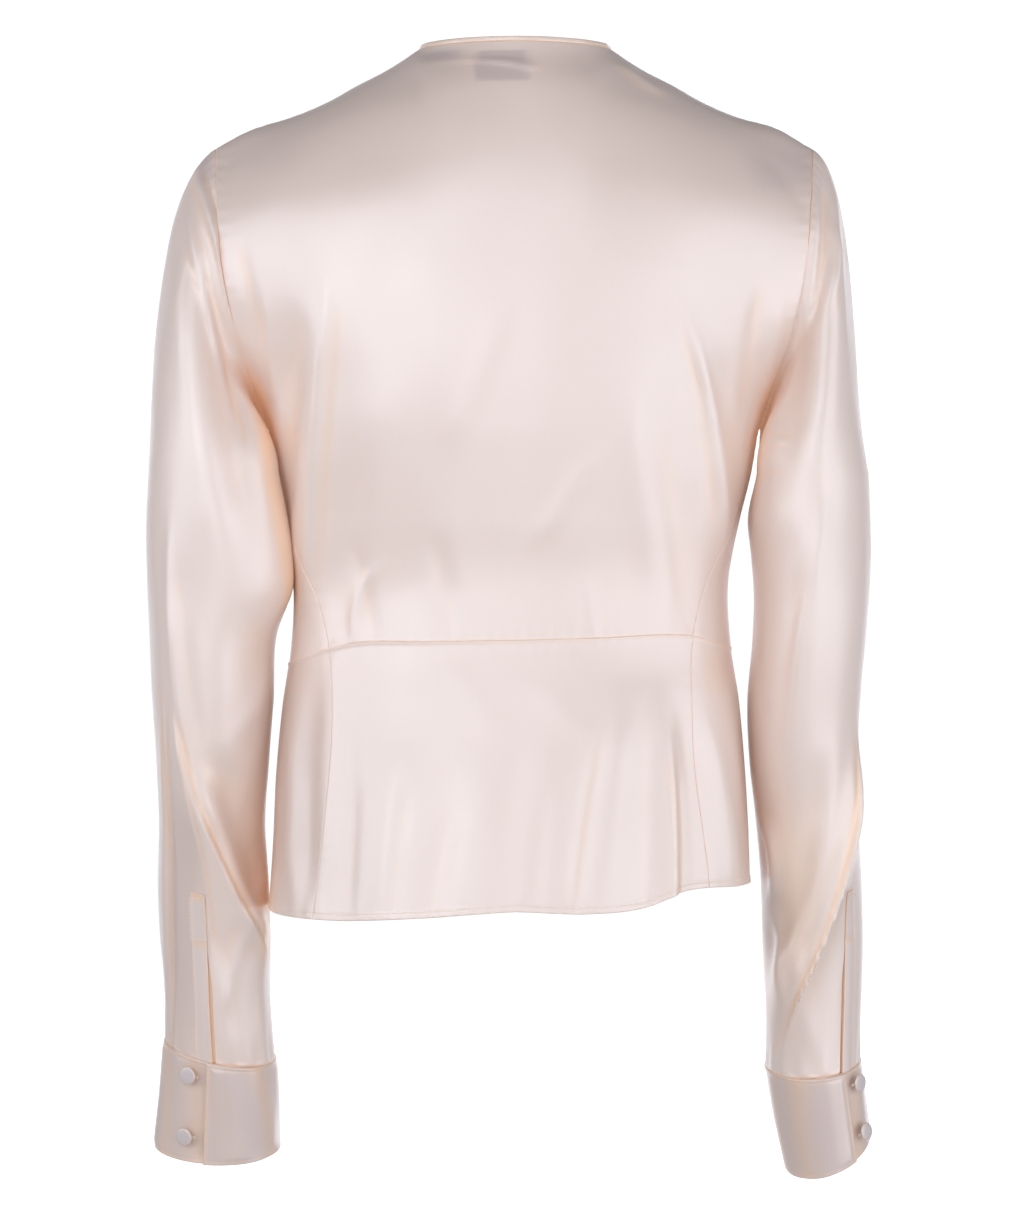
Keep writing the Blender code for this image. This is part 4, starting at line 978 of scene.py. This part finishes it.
def paint_cloth_shade(cloth, trough_shade):
    """Painted warm shade in the troughs, between sleeve and bodice and in the soft patches, before the cloth is sewn.
    """
    cloth.paint_light_and_shade(warm=trough_shade * cloth.hollow())
    paint_crevice_shade(cloth)
    paint_shade_patches(cloth)


def build_torso(silk, thread):
    """The four panels; returns the bodices before sewing, for what joins them."""
    bodices = {face: whole_panel(bodice_half, "bodice", face) for face in FACES}
    peplums = {face: whole_panel(peplum_half, "peplum", face) for face in FACES}
    everything = [*bodices.values(), *peplums.values()]
    share_normals(everything)
    for cloth in everything:
        cloth.crease()
    share_normals(everything)
    for cloth in bodices.values():
        normals = cloth.grid(cloth.normals)
        seam = shoulder_columns(cloth)
        normals[-1, seam, 1] = 0
        normals[-1, seam] = unit(normals[-1, seam])
    plain_bodices = {face: (cloth.grid().copy(), cloth.grid(cloth.normals).copy())
                     for face, cloth in bodices.items()}
    label_shadow(bodices["back"])
    for face, cloth in bodices.items():
        paint_cloth_shade(cloth, 0.2)
        sew_bodice(cloth)
        add_shell(face + "_panel", cloth, silk, (face + "_bodice",))
    for face, cloth in peplums.items():
        paint_cloth_shade(cloth, 0.2)
        distance = run(cloth.grid(), 0)
        row = np.abs(distance[:, distance.shape[1] // 2] - HEM_LINE).argmin()
        sew_peplum(cloth)
        add_shell(face + "_skirt", cloth, silk, (face + "_peplum",))
        path, facing = cloth.grid()[row], cloth.grid(cloth.normals)[row]
        add_stitches(face + "_hem_stitches", *along_path(path, facing, HEM_SEWING.pitch), thread, HEM_SEWING)
    return plain_bodices


# --- sleeves ---
def tilted_ring(centre, width, depth, roll, pitch, angles, side):
    """Points of a ring; angle 0 is its outer side and 90 its back."""
    sign = SIDES[side]
    roll, pitch, angles = np.radians(roll), np.radians(pitch), np.radians(angles)
    sideways = np.array([sign * np.cos(roll), 0, np.sin(roll)])
    back = np.array([0, np.cos(pitch), -np.sin(pitch)])
    centre = np.array([sign * centre[0], centre[1], centre[2]])
    return centre + np.outer(width * np.cos(angles), sideways) + np.outer(depth * np.sin(angles), back)


def sleeve_ring(side, drop, angles):
    """Points of the sleeve at a drop, between its rings and the top of the cuff."""
    cuff = CUFFS[side][0]
    reach = cuff.width - SLEEVE_INSET
    last = Ring(cuff.drop - SEAM, cuff.x + reach, cuff.x - reach, cuff.y, cuff.depth - SLEEVE_INSET,
                cuff.roll, cuff.pitch)
    rings = SLEEVES[side] + [last]
    outer, inner, y, depth, roll, pitch = (between(rings, "drop", name, drop) for name in Ring._fields[1:])
    return tilted_ring(((outer + inner) / 2, y, -drop), (outer - inner) / 2, depth, roll, pitch, angles, side)


def armhole(bodices, side):
    """Points and normals round an armhole: tip, down the back, underarm, up the front."""
    edge = -1 if side == "left" else 0
    low = len(LOWER_SHARES) - 1
    reaches = np.r_[0, REACHES]
    spans = np.arange(ARMHOLE_ROWS * FINE + 1) * TOP_REACH / (ARMHOLE_ROWS * FINE)
    lines_by_face = {}
    for face, (points, normals) in bodices.items():
        both = np.concatenate([points[low:, edge], normals[low:, edge]], axis=1)
        lines_by_face[face] = sample(spans, reaches, both)
    ring = np.concatenate([lines_by_face["back"][::-1], lines_by_face["front"][1:-1]])
    return ring[:, :3], unit(ring[:, 3:])


def column_angles(points, drop, side):
    """Angles of the sleeve's columns, which slide over to the placket lower down."""
    coarse = points[::FINE]
    steps = np.linalg.norm(np.diff(coarse, axis=0, append=coarse[:1]), axis=1)
    back = np.r_[0, np.cumsum(steps[:ARMHOLE_ROWS])]
    front = np.r_[0, np.cumsum(steps[ARMHOLE_ROWS:])]
    still = np.r_[180 * back / back[-1], 180 + 180 * front[1:] / front[-1]]
    opening, slit = OPENINGS[side], SLIT_COLUMN[side]
    moved = still.copy()
    moved[slit - 2:slit + 1] = np.linspace(opening.strip, opening.slit, 3)
    share = rise(drop, SHIFT_FROM, SHIFT_TO - SHIFT_FROM)
    angles = still + (moved - still) * share
    return np.interp(np.arange(len(points)) / FINE, np.arange(len(angles)), angles)


def sleeve_rows(side, points, normals):
    """Rows of sleeve points, from the armhole down to the cuff, and the drop of each."""
    sign = SIDES[side]
    way = unit(np.roll(points, -FINE, axis=0) - np.roll(points, FINE, axis=0))
    outward = unit(sign * np.cross(way, normals))
    angles = column_angles(points, 0, side)
    first = sleeve_ring(side, SLEEVE_TOP, angles)
    chord = np.linalg.norm(first - points, axis=1, keepdims=True)
    under = smoothstep(1 - (chord - chord.min()) / UNDERARM_SPAN)
    leave = (outward + sign * np.array([UNDERARM_PUSH, 0, 0]) * under) * chord * CAP_LEAVE[side]
    outer = np.maximum(np.cos(np.radians(angles)), 0)[:, None]
    arrive = (np.array([0, 0, -1]) + sign * np.array([CAP_SPREAD[side], 0, 0]) * outer) * chord
    rows = [hermite(t, points, leave, first, arrive) for t in lines(CAP_LENGTH, end=False, step=4.0)[:-1]]
    length = CUFFS[side][0].drop - SEAM - SLEEVE_TOP
    drops = SLEEVE_TOP + lines(length, start=False, step=3.2) * length
    rows += [sleeve_ring(side, drop, column_angles(points, drop, side)) for drop in drops]
    return np.array(rows), np.r_[np.zeros(len(rows) - len(drops)), drops]


def lean_in(side, rows):
    """The back of the sleeve folds over toward the bodice, below the armhole."""
    rings = SLEEVES[side]
    x, y, drop = rows[..., 0] * SIDES[side], rows[..., 1], -rows[..., 2]
    middle = spline(column(rings, "drop"), column(rings, "outer") + column(rings, "inner"), drop) / 2
    share = fall(x, middle, 25) * rise(y, LEAN_BEHIND, 34)
    share *= rise(run(rows, 0), 0, 40) * fall(drop, LEAN_END[side], 90)
    share *= rise(drop, LEAN_TOP, 75)
    depth = np.clip(y / between(TORSO, "drop", "back", drop), 0, 1)
    wall = between(TORSO, "drop", side, drop) * (1 - depth**SQUARENESS) ** (1 / SQUARENESS)
    clear = LEAN_CLEAR + ARMHOLE_CLEAR * fall(drop, ARMHOLE_END, 45)
    rows[..., 0] = np.maximum(x - LEAN[side] * share, np.minimum(x, wall + clear)) * SIDES[side]


def open_slit(side, rows, drops):
    """Parts the sleeve below the slit's top; returns its points and faces."""
    count, slit = rows.shape[1], SLIT_COLUMN[side] * FINE
    gap = SLIT_GAP * rise(drops, SLIT_TOP, SLIT_EASE)
    way = unit(rows[:, slit + 1] - rows[:, slit])
    twin = rows[:, slit] + gap[:, None] * way
    for k in range(1, SLIT_SPREAD):
        rows[:, slit + k] += (gap * (1 - k / SLIT_SPREAD))[:, None] * way
    faces = grid_faces(len(rows), count, closed=True, turned=side == "left")
    first = int(np.argmax(drops > SLIT_TOP))
    for row in range(first, len(rows)):
        old = row * count + slit
        beyond = (faces == old + 1).any(axis=1)
        faces[beyond] = np.where(faces[beyond] == old, len(rows) * count + row - first, faces[beyond])
    return np.concatenate([rows.reshape(-1, 3), twin[first:]]), faces, first


def build_sleeve(side, bodices, silk, thread):
    points, normals = armhole(bodices, side)
    rows, drops = sleeve_rows(side, points, normals)
    lean_in(side, rows)
    count = rows.shape[1]
    all_points, faces, first = open_slit(side, rows, drops)
    cloth = Cloth(rows, f"sleeve_{side}", faces=faces)
    cloth.points = all_points
    extra = len(all_points) - len(rows) * count
    slit = SLIT_COLUMN[side] * FINE
    twins = (np.arange(extra) + first) * count + slit
    cloth.uv = np.concatenate([cloth.uv, cloth.uv[twins]])
    cloth.warm, cloth.shade, cloth.painted_glow = np.zeros((3, len(all_points)))
    share_normals([cloth])
    cloth.crease()
    cloth.points[:count] = rows[0]
    share_normals([cloth])
    cloth.normals[:count] = normals
    paint_cloth_shade(cloth, 0.3)
    grid = cloth.grid()
    top = run(grid, 0)
    bottom = top[-1] - top
    round_it = run(grid, 1)
    lift = pucker(top, round_it, 0.7 if side == "left" else 4.1) - turn_in(top) - turn_in(bottom, 0.5, 0.5)
    lift += 2.5 * pucker(bottom / 1.8, round_it / 1.5, 2.0)
    lift = np.r_[lift.ravel(), lift.ravel()[twins]]
    plain_points, plain_normals = cloth.grid().copy(), cloth.grid(cloth.normals).copy()
    cloth.push(lift)
    cloth.points[(len(rows) - 1) * count:len(rows) * count, 2] -= TUCKED
    cloth.points[-1, 2] -= TUCKED
    # painted warm shade along the armhole seam and the cuff seam
    near = np.exp(-np.minimum(top, bottom) / SEAM_SHADE_REACH).ravel()
    cloth.paint_light_and_shade(warm=0.45 * np.r_[near, near[twins]])
    add_shell(f"sleeve_{side}_cloth", cloth, silk, (f"sleeve_{side}",))
    build_placket(side, plain_points, plain_normals, drops, silk, thread)


def part_of(points, normals, first_row, first, last, side):
    """Some columns of a grid, from a row down, as a cloth of their own."""
    part = slice(first_row, None), slice(first, last)
    cloth = Cloth(points[part], turned=side == "left")
    cloth.normals = normals[part].reshape(-1, 3)
    return cloth


def build_placket(side, points, normals, drops, silk, thread):
    """The placket strip over the sleeve's points beside the slit, with its stitched box."""
    slit = SLIT_COLUMN[side] * FINE
    first = int(np.argmax(drops >= STRIP_TOP))
    strip = part_of(points, normals, first, slit - 2 * FINE, slit + 1, side)
    wide, long = run(strip.grid(), 1), run(strip.grid(), 0)
    edge = np.minimum(np.minimum(wide, wide[:, -1:] - wide), long)
    under = strip.points + strip.normals * SEAM
    lift = SEAM + TRIM_WALL - turn_in(edge, 0.6, 0.9)
    here = drops[first:]
    for line in BOX_LINES:
        groove = bell(here, line + GROOVE_BELOW, 0.8)
        lift += (0.35 * bell(here, line, 0.9) - 0.65 * groove)[:, None]
        # painted warm shade in the groove under each box line
        strip.paint_light_and_shade(warm=np.repeat(0.85 * groove, wide.shape[1]))
    lift -= 0.2 * bell(edge, 1.6, 0.5)
    # painted warm shade along the strip's edges
    strip.paint_light_and_shade(warm=0.7 * np.exp(-edge / 0.7))
    taper = rise(wide, 0, STRIP_TAPER)
    # painted shade over the strip, fading out toward its tapered side
    strip.shade = 0.2 * taper.ravel()
    lift = lift * taper - 0.1 * (1 - taper)
    under += strip.normals * (taper.reshape(-1, 1) - 1) * (SEAM + 0.4)
    over = strip.points + strip.normals * lift.reshape(-1, 1)
    facing = part_of(points, normals, int(np.argmax(drops >= SLIT_TOP)), slit - 5, slit + 9, side)
    facing.points = facing.points - facing.normals * (WALL + 0.4)
    # painted warm shade over the facing that shows in the slit
    facing.warm += 0.9
    add_shell(f"placket_{side}_facing", facing, silk, (f"placket_{side}",))
    add_shell(f"placket_{side}_strip", strip, silk, (f"placket_{side}",), outer=over, inner=under)
    over = over.reshape(strip.shape + (3,))
    outward = strip.normals.reshape(over.shape)
    low, high = (np.abs(here - line).argmin() for line in BOX_LINES)
    sewn = [along_path(over[row], outward[row], BOX_SEWING.pitch) for row in (low, high)]
    sewn += [along_path(over[low:high + 1, place], outward[low:high + 1, place], BOX_SIDE_PITCH) for place in (1, -2)]
    add_stitches(f"placket_{side}_stitches", *join(sewn), thread, BOX_SEWING)


# --- cuffs and buttons ---
def cuff_points(side, share, angles, lift):
    """Points on a cuff at a share of its height, raised from its surface by the lift."""
    top, bottom = CUFFS[side]
    x, y, drop, width, depth, roll, pitch = (a + (b - a) * share for a, b in zip(top, bottom))
    out = tilted_ring((0, 0, 0), 1, 1, roll, pitch, angles, side)
    return tilted_ring((x, y, -drop), width, depth, roll, pitch, angles, side) + out * lift[:, None]


def build_cuff(side, silk):
    """A cuff in doubled cloth, whose end lies over its own beginning."""
    opening = OPENINGS[side]
    total = 360 + UNDERLAP
    turned = lines(total * CUFF_DEGREE, step=CUFF_STEP * CUFF_DEGREE) * total
    angles = opening.edge + UNDERLAP - turned
    lift = OVERLAP_LIFT * rise(turned, LIFT_FROM, 360 - LIFT_FROM)
    shares = lines(CUFF_HEIGHT, step=3.0)
    outer, inner = (np.array([cuff_points(side, share, angles, level) for share in shares])
                    for level in (lift, lift - CUFF_WALL))
    cloth = Cloth(outer, turned=side == "left")
    out = unit(outer - inner)
    down, wide = run(outer, 0), run(outer, 1)
    ends = np.minimum(wide, wide[:, -1:] - wide)
    edge = np.minimum(np.minimum(down, down[-1] - down), ends)
    wave = 0.8 * np.sin(wide / 6.5 + 0.9 * np.sin(down / 27.0)) * np.sin(wide / 19.0 + 0.6)
    wave += 0.2 * np.sin(down / 13.0 + wide / 31.0)
    turned_in = turn_in(edge, 0.6, 0.9)
    tuck = turned_in - 0.4 * bell(down, 1.2, 0.8) + 0.18 * bell(edge, CUFF_STITCH, 0.6)
    wave *= rise(edge, 0, 6)
    outer = outer + out * (wave - tuck)[..., None]
    inner = inner + out * (wave + turned_in)[..., None]
    cloth.normals = out.reshape(-1, 3)
    # painted sheen: bands round the cuff take painted shade and painted warm shade in turn
    painted_sheen_bands = np.sin(wide / 7.5 + 1.1 * np.sin(down / 31.0)) * np.sin(wide / 17.0 + 0.6)
    # painted glow, a painted highlight, on the cuff's top edge and a pale line below it
    rim = np.exp(-down / 0.9) + 0.6 * bell(down, CUFF_TOP_LINE, 0.5)
    # painted warm shade at the overlap's ends, the bottom edge, the pressed line and the darker bands
    warm = (0.7 * np.exp(-ends / 1.2) + 0.25 * np.exp(-(down[-1] - down) / 0.8)
            + 0.2 * bell(edge, CUFF_STITCH, 0.7) + 0.35 * np.clip(-painted_sheen_bands, 0, 1))
    cloth.paint_light_and_shade(np.maximum(warm, 0.2 * rim), 0.22 * np.clip(painted_sheen_bands, 0, 1) * (1 - np.clip(rim, 0, 1)), 0.75 * rim)
    add_shell(f"cuff_{side}_cloth", cloth, silk, (f"cuff_{side}",), outer=outer.reshape(-1, 3),
              inner=inner.reshape(-1, 3))


def button_profile():
    """(radius, height) of a covered button from its top's middle down to its shank."""
    dome = [(r, 3.15 - 0.45 * (r / 5.4) ** 4) for r in (0, 1, 2, 3, 4, 4.7, 5.2)]
    rim = [(5.5, 2.55), (5.72, 2.35), (5.8, 2.1), (5.7, 1.85), (5.4, 1.68), (5.0, 1.6)]
    return dome + rim + [(3.2, 1.5), (2.0, 1.3), (1.8, 0.7), (1.9, 0.1), (0.0, 0.1)]


def build_buttons(silk, thread):
    profile = np.array(button_profile())
    turn = np.linspace(0, 2 * np.pi, 48, endpoint=False)
    ring = np.stack([np.cos(turn), np.sin(turn)], axis=-1)
    gather = 1 + 0.012 * np.sin(turn * 15)[None] * fall(profile[:, 1:], 2.9, 1.2)
    radius = profile[:, :1] * gather
    body = np.stack([radius * ring[:, 0], radius * ring[:, 1],
                     np.repeat(profile[:, 1:], len(turn), axis=1)], axis=-1).reshape(-1, 3)
    faces = grid_faces(len(profile), len(turn), closed=True)
    profile_share = np.repeat(profile[:, 0] / 6, len(turn))
    uv = np.stack([body[:, 0] / 12, body[:, 1] / 12], axis=-1)
    # painted warm shade round the button's rim
    warm = bell(body[:, 2], 2.3, 0.45) * 0.5 * (profile_share > 0.8)
    for side, opening in OPENINGS.items():
        for place, share in BUTTON_HEIGHTS.items():
            lift = np.array([OVERLAP_LIFT, OVERLAP_LIFT + 1])
            spot, above = cuff_points(side, share, np.full(2, opening.button), lift)
            out = Vector(above - spot).normalized()
            turn_to = np.array(out.to_track_quat("Z", "Y").to_matrix())
            points = body @ turn_to.T + spot + np.array(out) * SEAM
            name = f"button_{side}_{place}"
            add_object(name + "_cover", points, faces.tolist(), silk, slot="button_satin", replaces=(name,),
                       uv=uv, warm=warm, shade=np.zeros(len(points)))
            build_buttonhole(side, share, opening, name, thread)


def build_buttonhole(side, share, opening, name, thread):
    """Close stitches on both sides of a slit that lies under the button."""
    at = np.arange(-HOLE_HALF, HOLE_HALF + 0.01, HOLE_SEWING.pitch)
    angles = opening.button + (HOLE_SHIFT + at) / CUFF_DEGREE
    edges = []
    lift = np.full(len(angles), OVERLAP_LIFT)
    for offset in (-0.5, 0.5):
        row = cuff_points(side, share + offset / CUFF_HEIGHT, angles, lift)
        above = cuff_points(side, share + offset / CUFF_HEIGHT, angles, lift + 1)
        beside = cuff_points(side, share + (offset + 0.5) / CUFF_HEIGHT, angles, lift)
        edges.append((row, beside - row, unit(above - row)))
    add_stitches(name + "_hole", *join(edges), thread, HOLE_SEWING)


# --- neck binding and label ---
def neck_ring(bodices):
    """Points and normals round the neck: back from right to left, then front to the right."""
    lines_of = []
    for face in FACES:
        points, normals = bodices[face]
        middle = points.shape[1] // 2
        count = int((across(face) <= NECK_SHARE[face] + 1e-9).sum()) - 1
        both = np.concatenate([points[-1], normals[-1]], axis=1)[middle - count:middle + count + 1]
        lines_of.append(both if face == "back" else both[::-1])
    ring = np.concatenate([lines_of[0], lines_of[1][1:-1]])
    return ring[:, :3], ring[:, 3:]


def build_binding(bodices, silk, thread):
    """A narrow folded strip round the neckline, with its row of stitches."""
    points, normals = neck_ring(bodices)
    way = unit(np.roll(points, -BINDING_SPAN, axis=0) - np.roll(points, BINDING_SPAN, axis=0))
    inward = unit(np.cross(way, normals))
    lift = BINDING_LIFT * smoothstep((points[:, 1] - points[:, 1].min()) / NECK_DEPTH)
    up = unit(inward + lift[:, None] * np.array([0, 0, 1]))
    out = unit(np.cross(up, way))
    angles = np.linspace(0, 2 * np.pi, BINDING_SIDES, endpoint=False)
    round_x, round_y = (np.sign(wave) * np.abs(wave) ** power
                        for wave, power in ((np.cos(angles), 0.55), (np.sin(angles), 0.8)))
    length = run(points, 0)
    swell = 1 + 0.09 * np.sin(length / 3.1 + 1.4 * np.sin(length / 11.0))
    ridge = 0.12 * np.sin(length / 2.3)
    rows = []
    for place_up, place_out in zip(round_x, round_y):
        height = SEAM + BINDING_HEIGHT * (0.5 + 0.5 * place_up)
        thick = BINDING_WALL * (-0.5 + 0.5 * place_out * swell) + ridge * max(0, place_out)
        rows.append(points + up * height + out * thick[:, None])
    rows = np.array(rows).transpose(1, 0, 2)
    count, sides = rows.shape[:2]
    faces = grid_faces(count + 1, sides, closed=True) % (count * sides)
    uv = np.stack([np.tile(angles, count), np.repeat(length / 20, sides)], axis=-1)
    # painted warm shade along the band's foot by the seam, and a little all round
    warm = np.tile(0.55 * bell(round_x, -1, 0.35) + 0.15, count)
    add_object("neck_band", rows.reshape(-1, 3), faces.tolist(), silk, replaces=("neck_binding",), uv=uv,
               warm=warm, shade=np.zeros(count * sides))
    loop = np.arange(count + 1) % count
    path = points + up * (SEAM + BINDING_SEWN) + out * 0.02
    add_stitches("neck_band_stitches", *along_path(path[loop], out[loop], BAND_SEWING.pitch), thread, BAND_SEWING)


def build_label(tape):
    """A blank woven label, sewn inside the back of the neck."""
    reaches = np.linspace(*LABEL_REACH, LABEL_ROWS)
    halves = [upper_half("back", "right", reaches)[:, :0:-1], upper_half("back", "left", reaches)]
    wide = np.concatenate(halves, axis=1)
    x = np.linspace(*LABEL_X, LABEL_COLUMNS)
    rows = np.array([sample(x, row[:, 0], row) for row in wide])
    label = Cloth(rows, turned=True)
    share_normals([label])
    down, along = (np.sin(np.linspace(0, np.pi, count)) for count in (LABEL_ROWS, LABEL_COLUMNS))
    sag = LABEL_SAG * down[:, None] * along[None]
    outer = label.points - label.normals * (PANEL_WALL + LABEL_GAP + sag.reshape(-1, 1))
    inner = outer - label.normals * TRIM_WALL
    add_shell("neck_label_tape", label, tape, ("neck_label",), outer=outer, inner=inner, slot="label_tape")


# --- studio ---
def add_light(light):
    lamp = bpy.data.lights.new(light.name, "AREA")
    lamp.shape = "RECTANGLE"
    lamp.size, lamp.size_y = light.size
    lamp.energy = light.power
    lamp.color = COOL
    thing = put(light.name, lamp)
    thing.location = light.place
    thing.rotation_euler = (Vector(MIDDLE) - Vector(light.place)).to_track_quat("-Z", "Y").to_euler()


def build_backdrop():
    """A pale floor that curves up into a wall all round; only the camera sees it."""
    turn = np.linspace(0, 2 * np.pi, 96, endpoint=False)
    bend = np.linspace(0, np.pi / 2, 9)
    profile = [(0.5, FLOOR_LEVEL), (4, FLOOR_LEVEL)]
    profile += [(FLOOR_REACH + FLOOR_ROUND * np.sin(a), FLOOR_LEVEL + FLOOR_ROUND * (1 - np.cos(a))) for a in bend]
    profile += [(FLOOR_REACH + FLOOR_ROUND, BACKDROP_TOP)]
    radius, height = np.array(profile).T
    points = np.stack([np.outer(radius, np.cos(turn)), np.outer(radius, np.sin(turn)),
                       np.repeat(height[:, None], len(turn), axis=1)], axis=-1).reshape(-1, 3)
    faces = grid_faces(len(radius), len(turn), closed=True).tolist() + [list(range(len(turn)))]
    mesh = bpy.data.meshes.new("backdrop")
    mesh.from_pydata(points.tolist(), [], faces)
    mesh.shade_smooth()
    paper = plain("backdrop", FLOOR_TONE, 0.9, 40, 0.02)
    feed(paper.node_tree.nodes["Principled BSDF"], Emission_Color=(1, 1, 1, 1), Emission_Strength=FLOOR_LIGHT)
    mesh.materials.append(paper)
    backdrop = put("backdrop", mesh)
    backdrop.visible_diffuse = backdrop.visible_glossy = backdrop.visible_shadow = False


def build_world():
    """Soft light from all round, which fades to dark overhead."""
    world = bpy.data.worlds.new("studio")
    bpy.context.scene.world = world
    world.use_nodes = True
    nodes = world.node_tree.nodes
    place = new_node(nodes, "TexCoord").outputs["Generated"]
    height = new_node(nodes, "SeparateXYZ", Vector=place).outputs["Z"]
    fade = map_range(nodes, height, WORLD_FADE[2], WORLD_FADE[3], WORLD_FADE[0], WORLD_FADE[1])
    feed(nodes["Background"], Color=(*COOL, 1), Strength=fade)


def build_studio():
    build_backdrop()
    build_world()
    for light in LIGHTS:
        add_light(light)
    camera = bpy.data.cameras.new("camera")
    camera.sensor_fit = "VERTICAL"
    camera.sensor_height = SENSOR
    camera.lens = SENSOR * CAMERA_PLACE[1] / VIEW_HEIGHT
    view = put("camera", camera)
    view.location = CAMERA_PLACE
    view.rotation_euler = (np.pi / 2, 0, np.pi)
    scene = bpy.context.scene
    scene.camera = view
    scene.view_settings.view_transform, scene.view_settings.look = "Standard", "None"


def main():
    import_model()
    silk = satin("silk_satin", SILK)
    # the cuff and button satins are darker copies of the silk: painted shade
    cuff_silk = satin("silk_satin_doubled_painted_shade", CUFF_SILK, 0.36, 0.1)
    button_silk = satin("silk_satin_button_painted_shade", BUTTON_SILK, 0.36, 0.1)
    thread = plain("silk_thread", THREAD, 0.45, 900, 0.2)
    tape = plain("label_tape", LABEL_TONE, 0.6, 900, 0.5)
    bodices = build_torso(silk, thread)
    for side in SIDES:
        build_sleeve(side, bodices, silk, thread)
        build_cuff(side, cuff_silk)
    build_buttons(button_silk, thread)
    build_binding(bodices, silk, thread)
    build_label(tape)
    build_studio()


main()
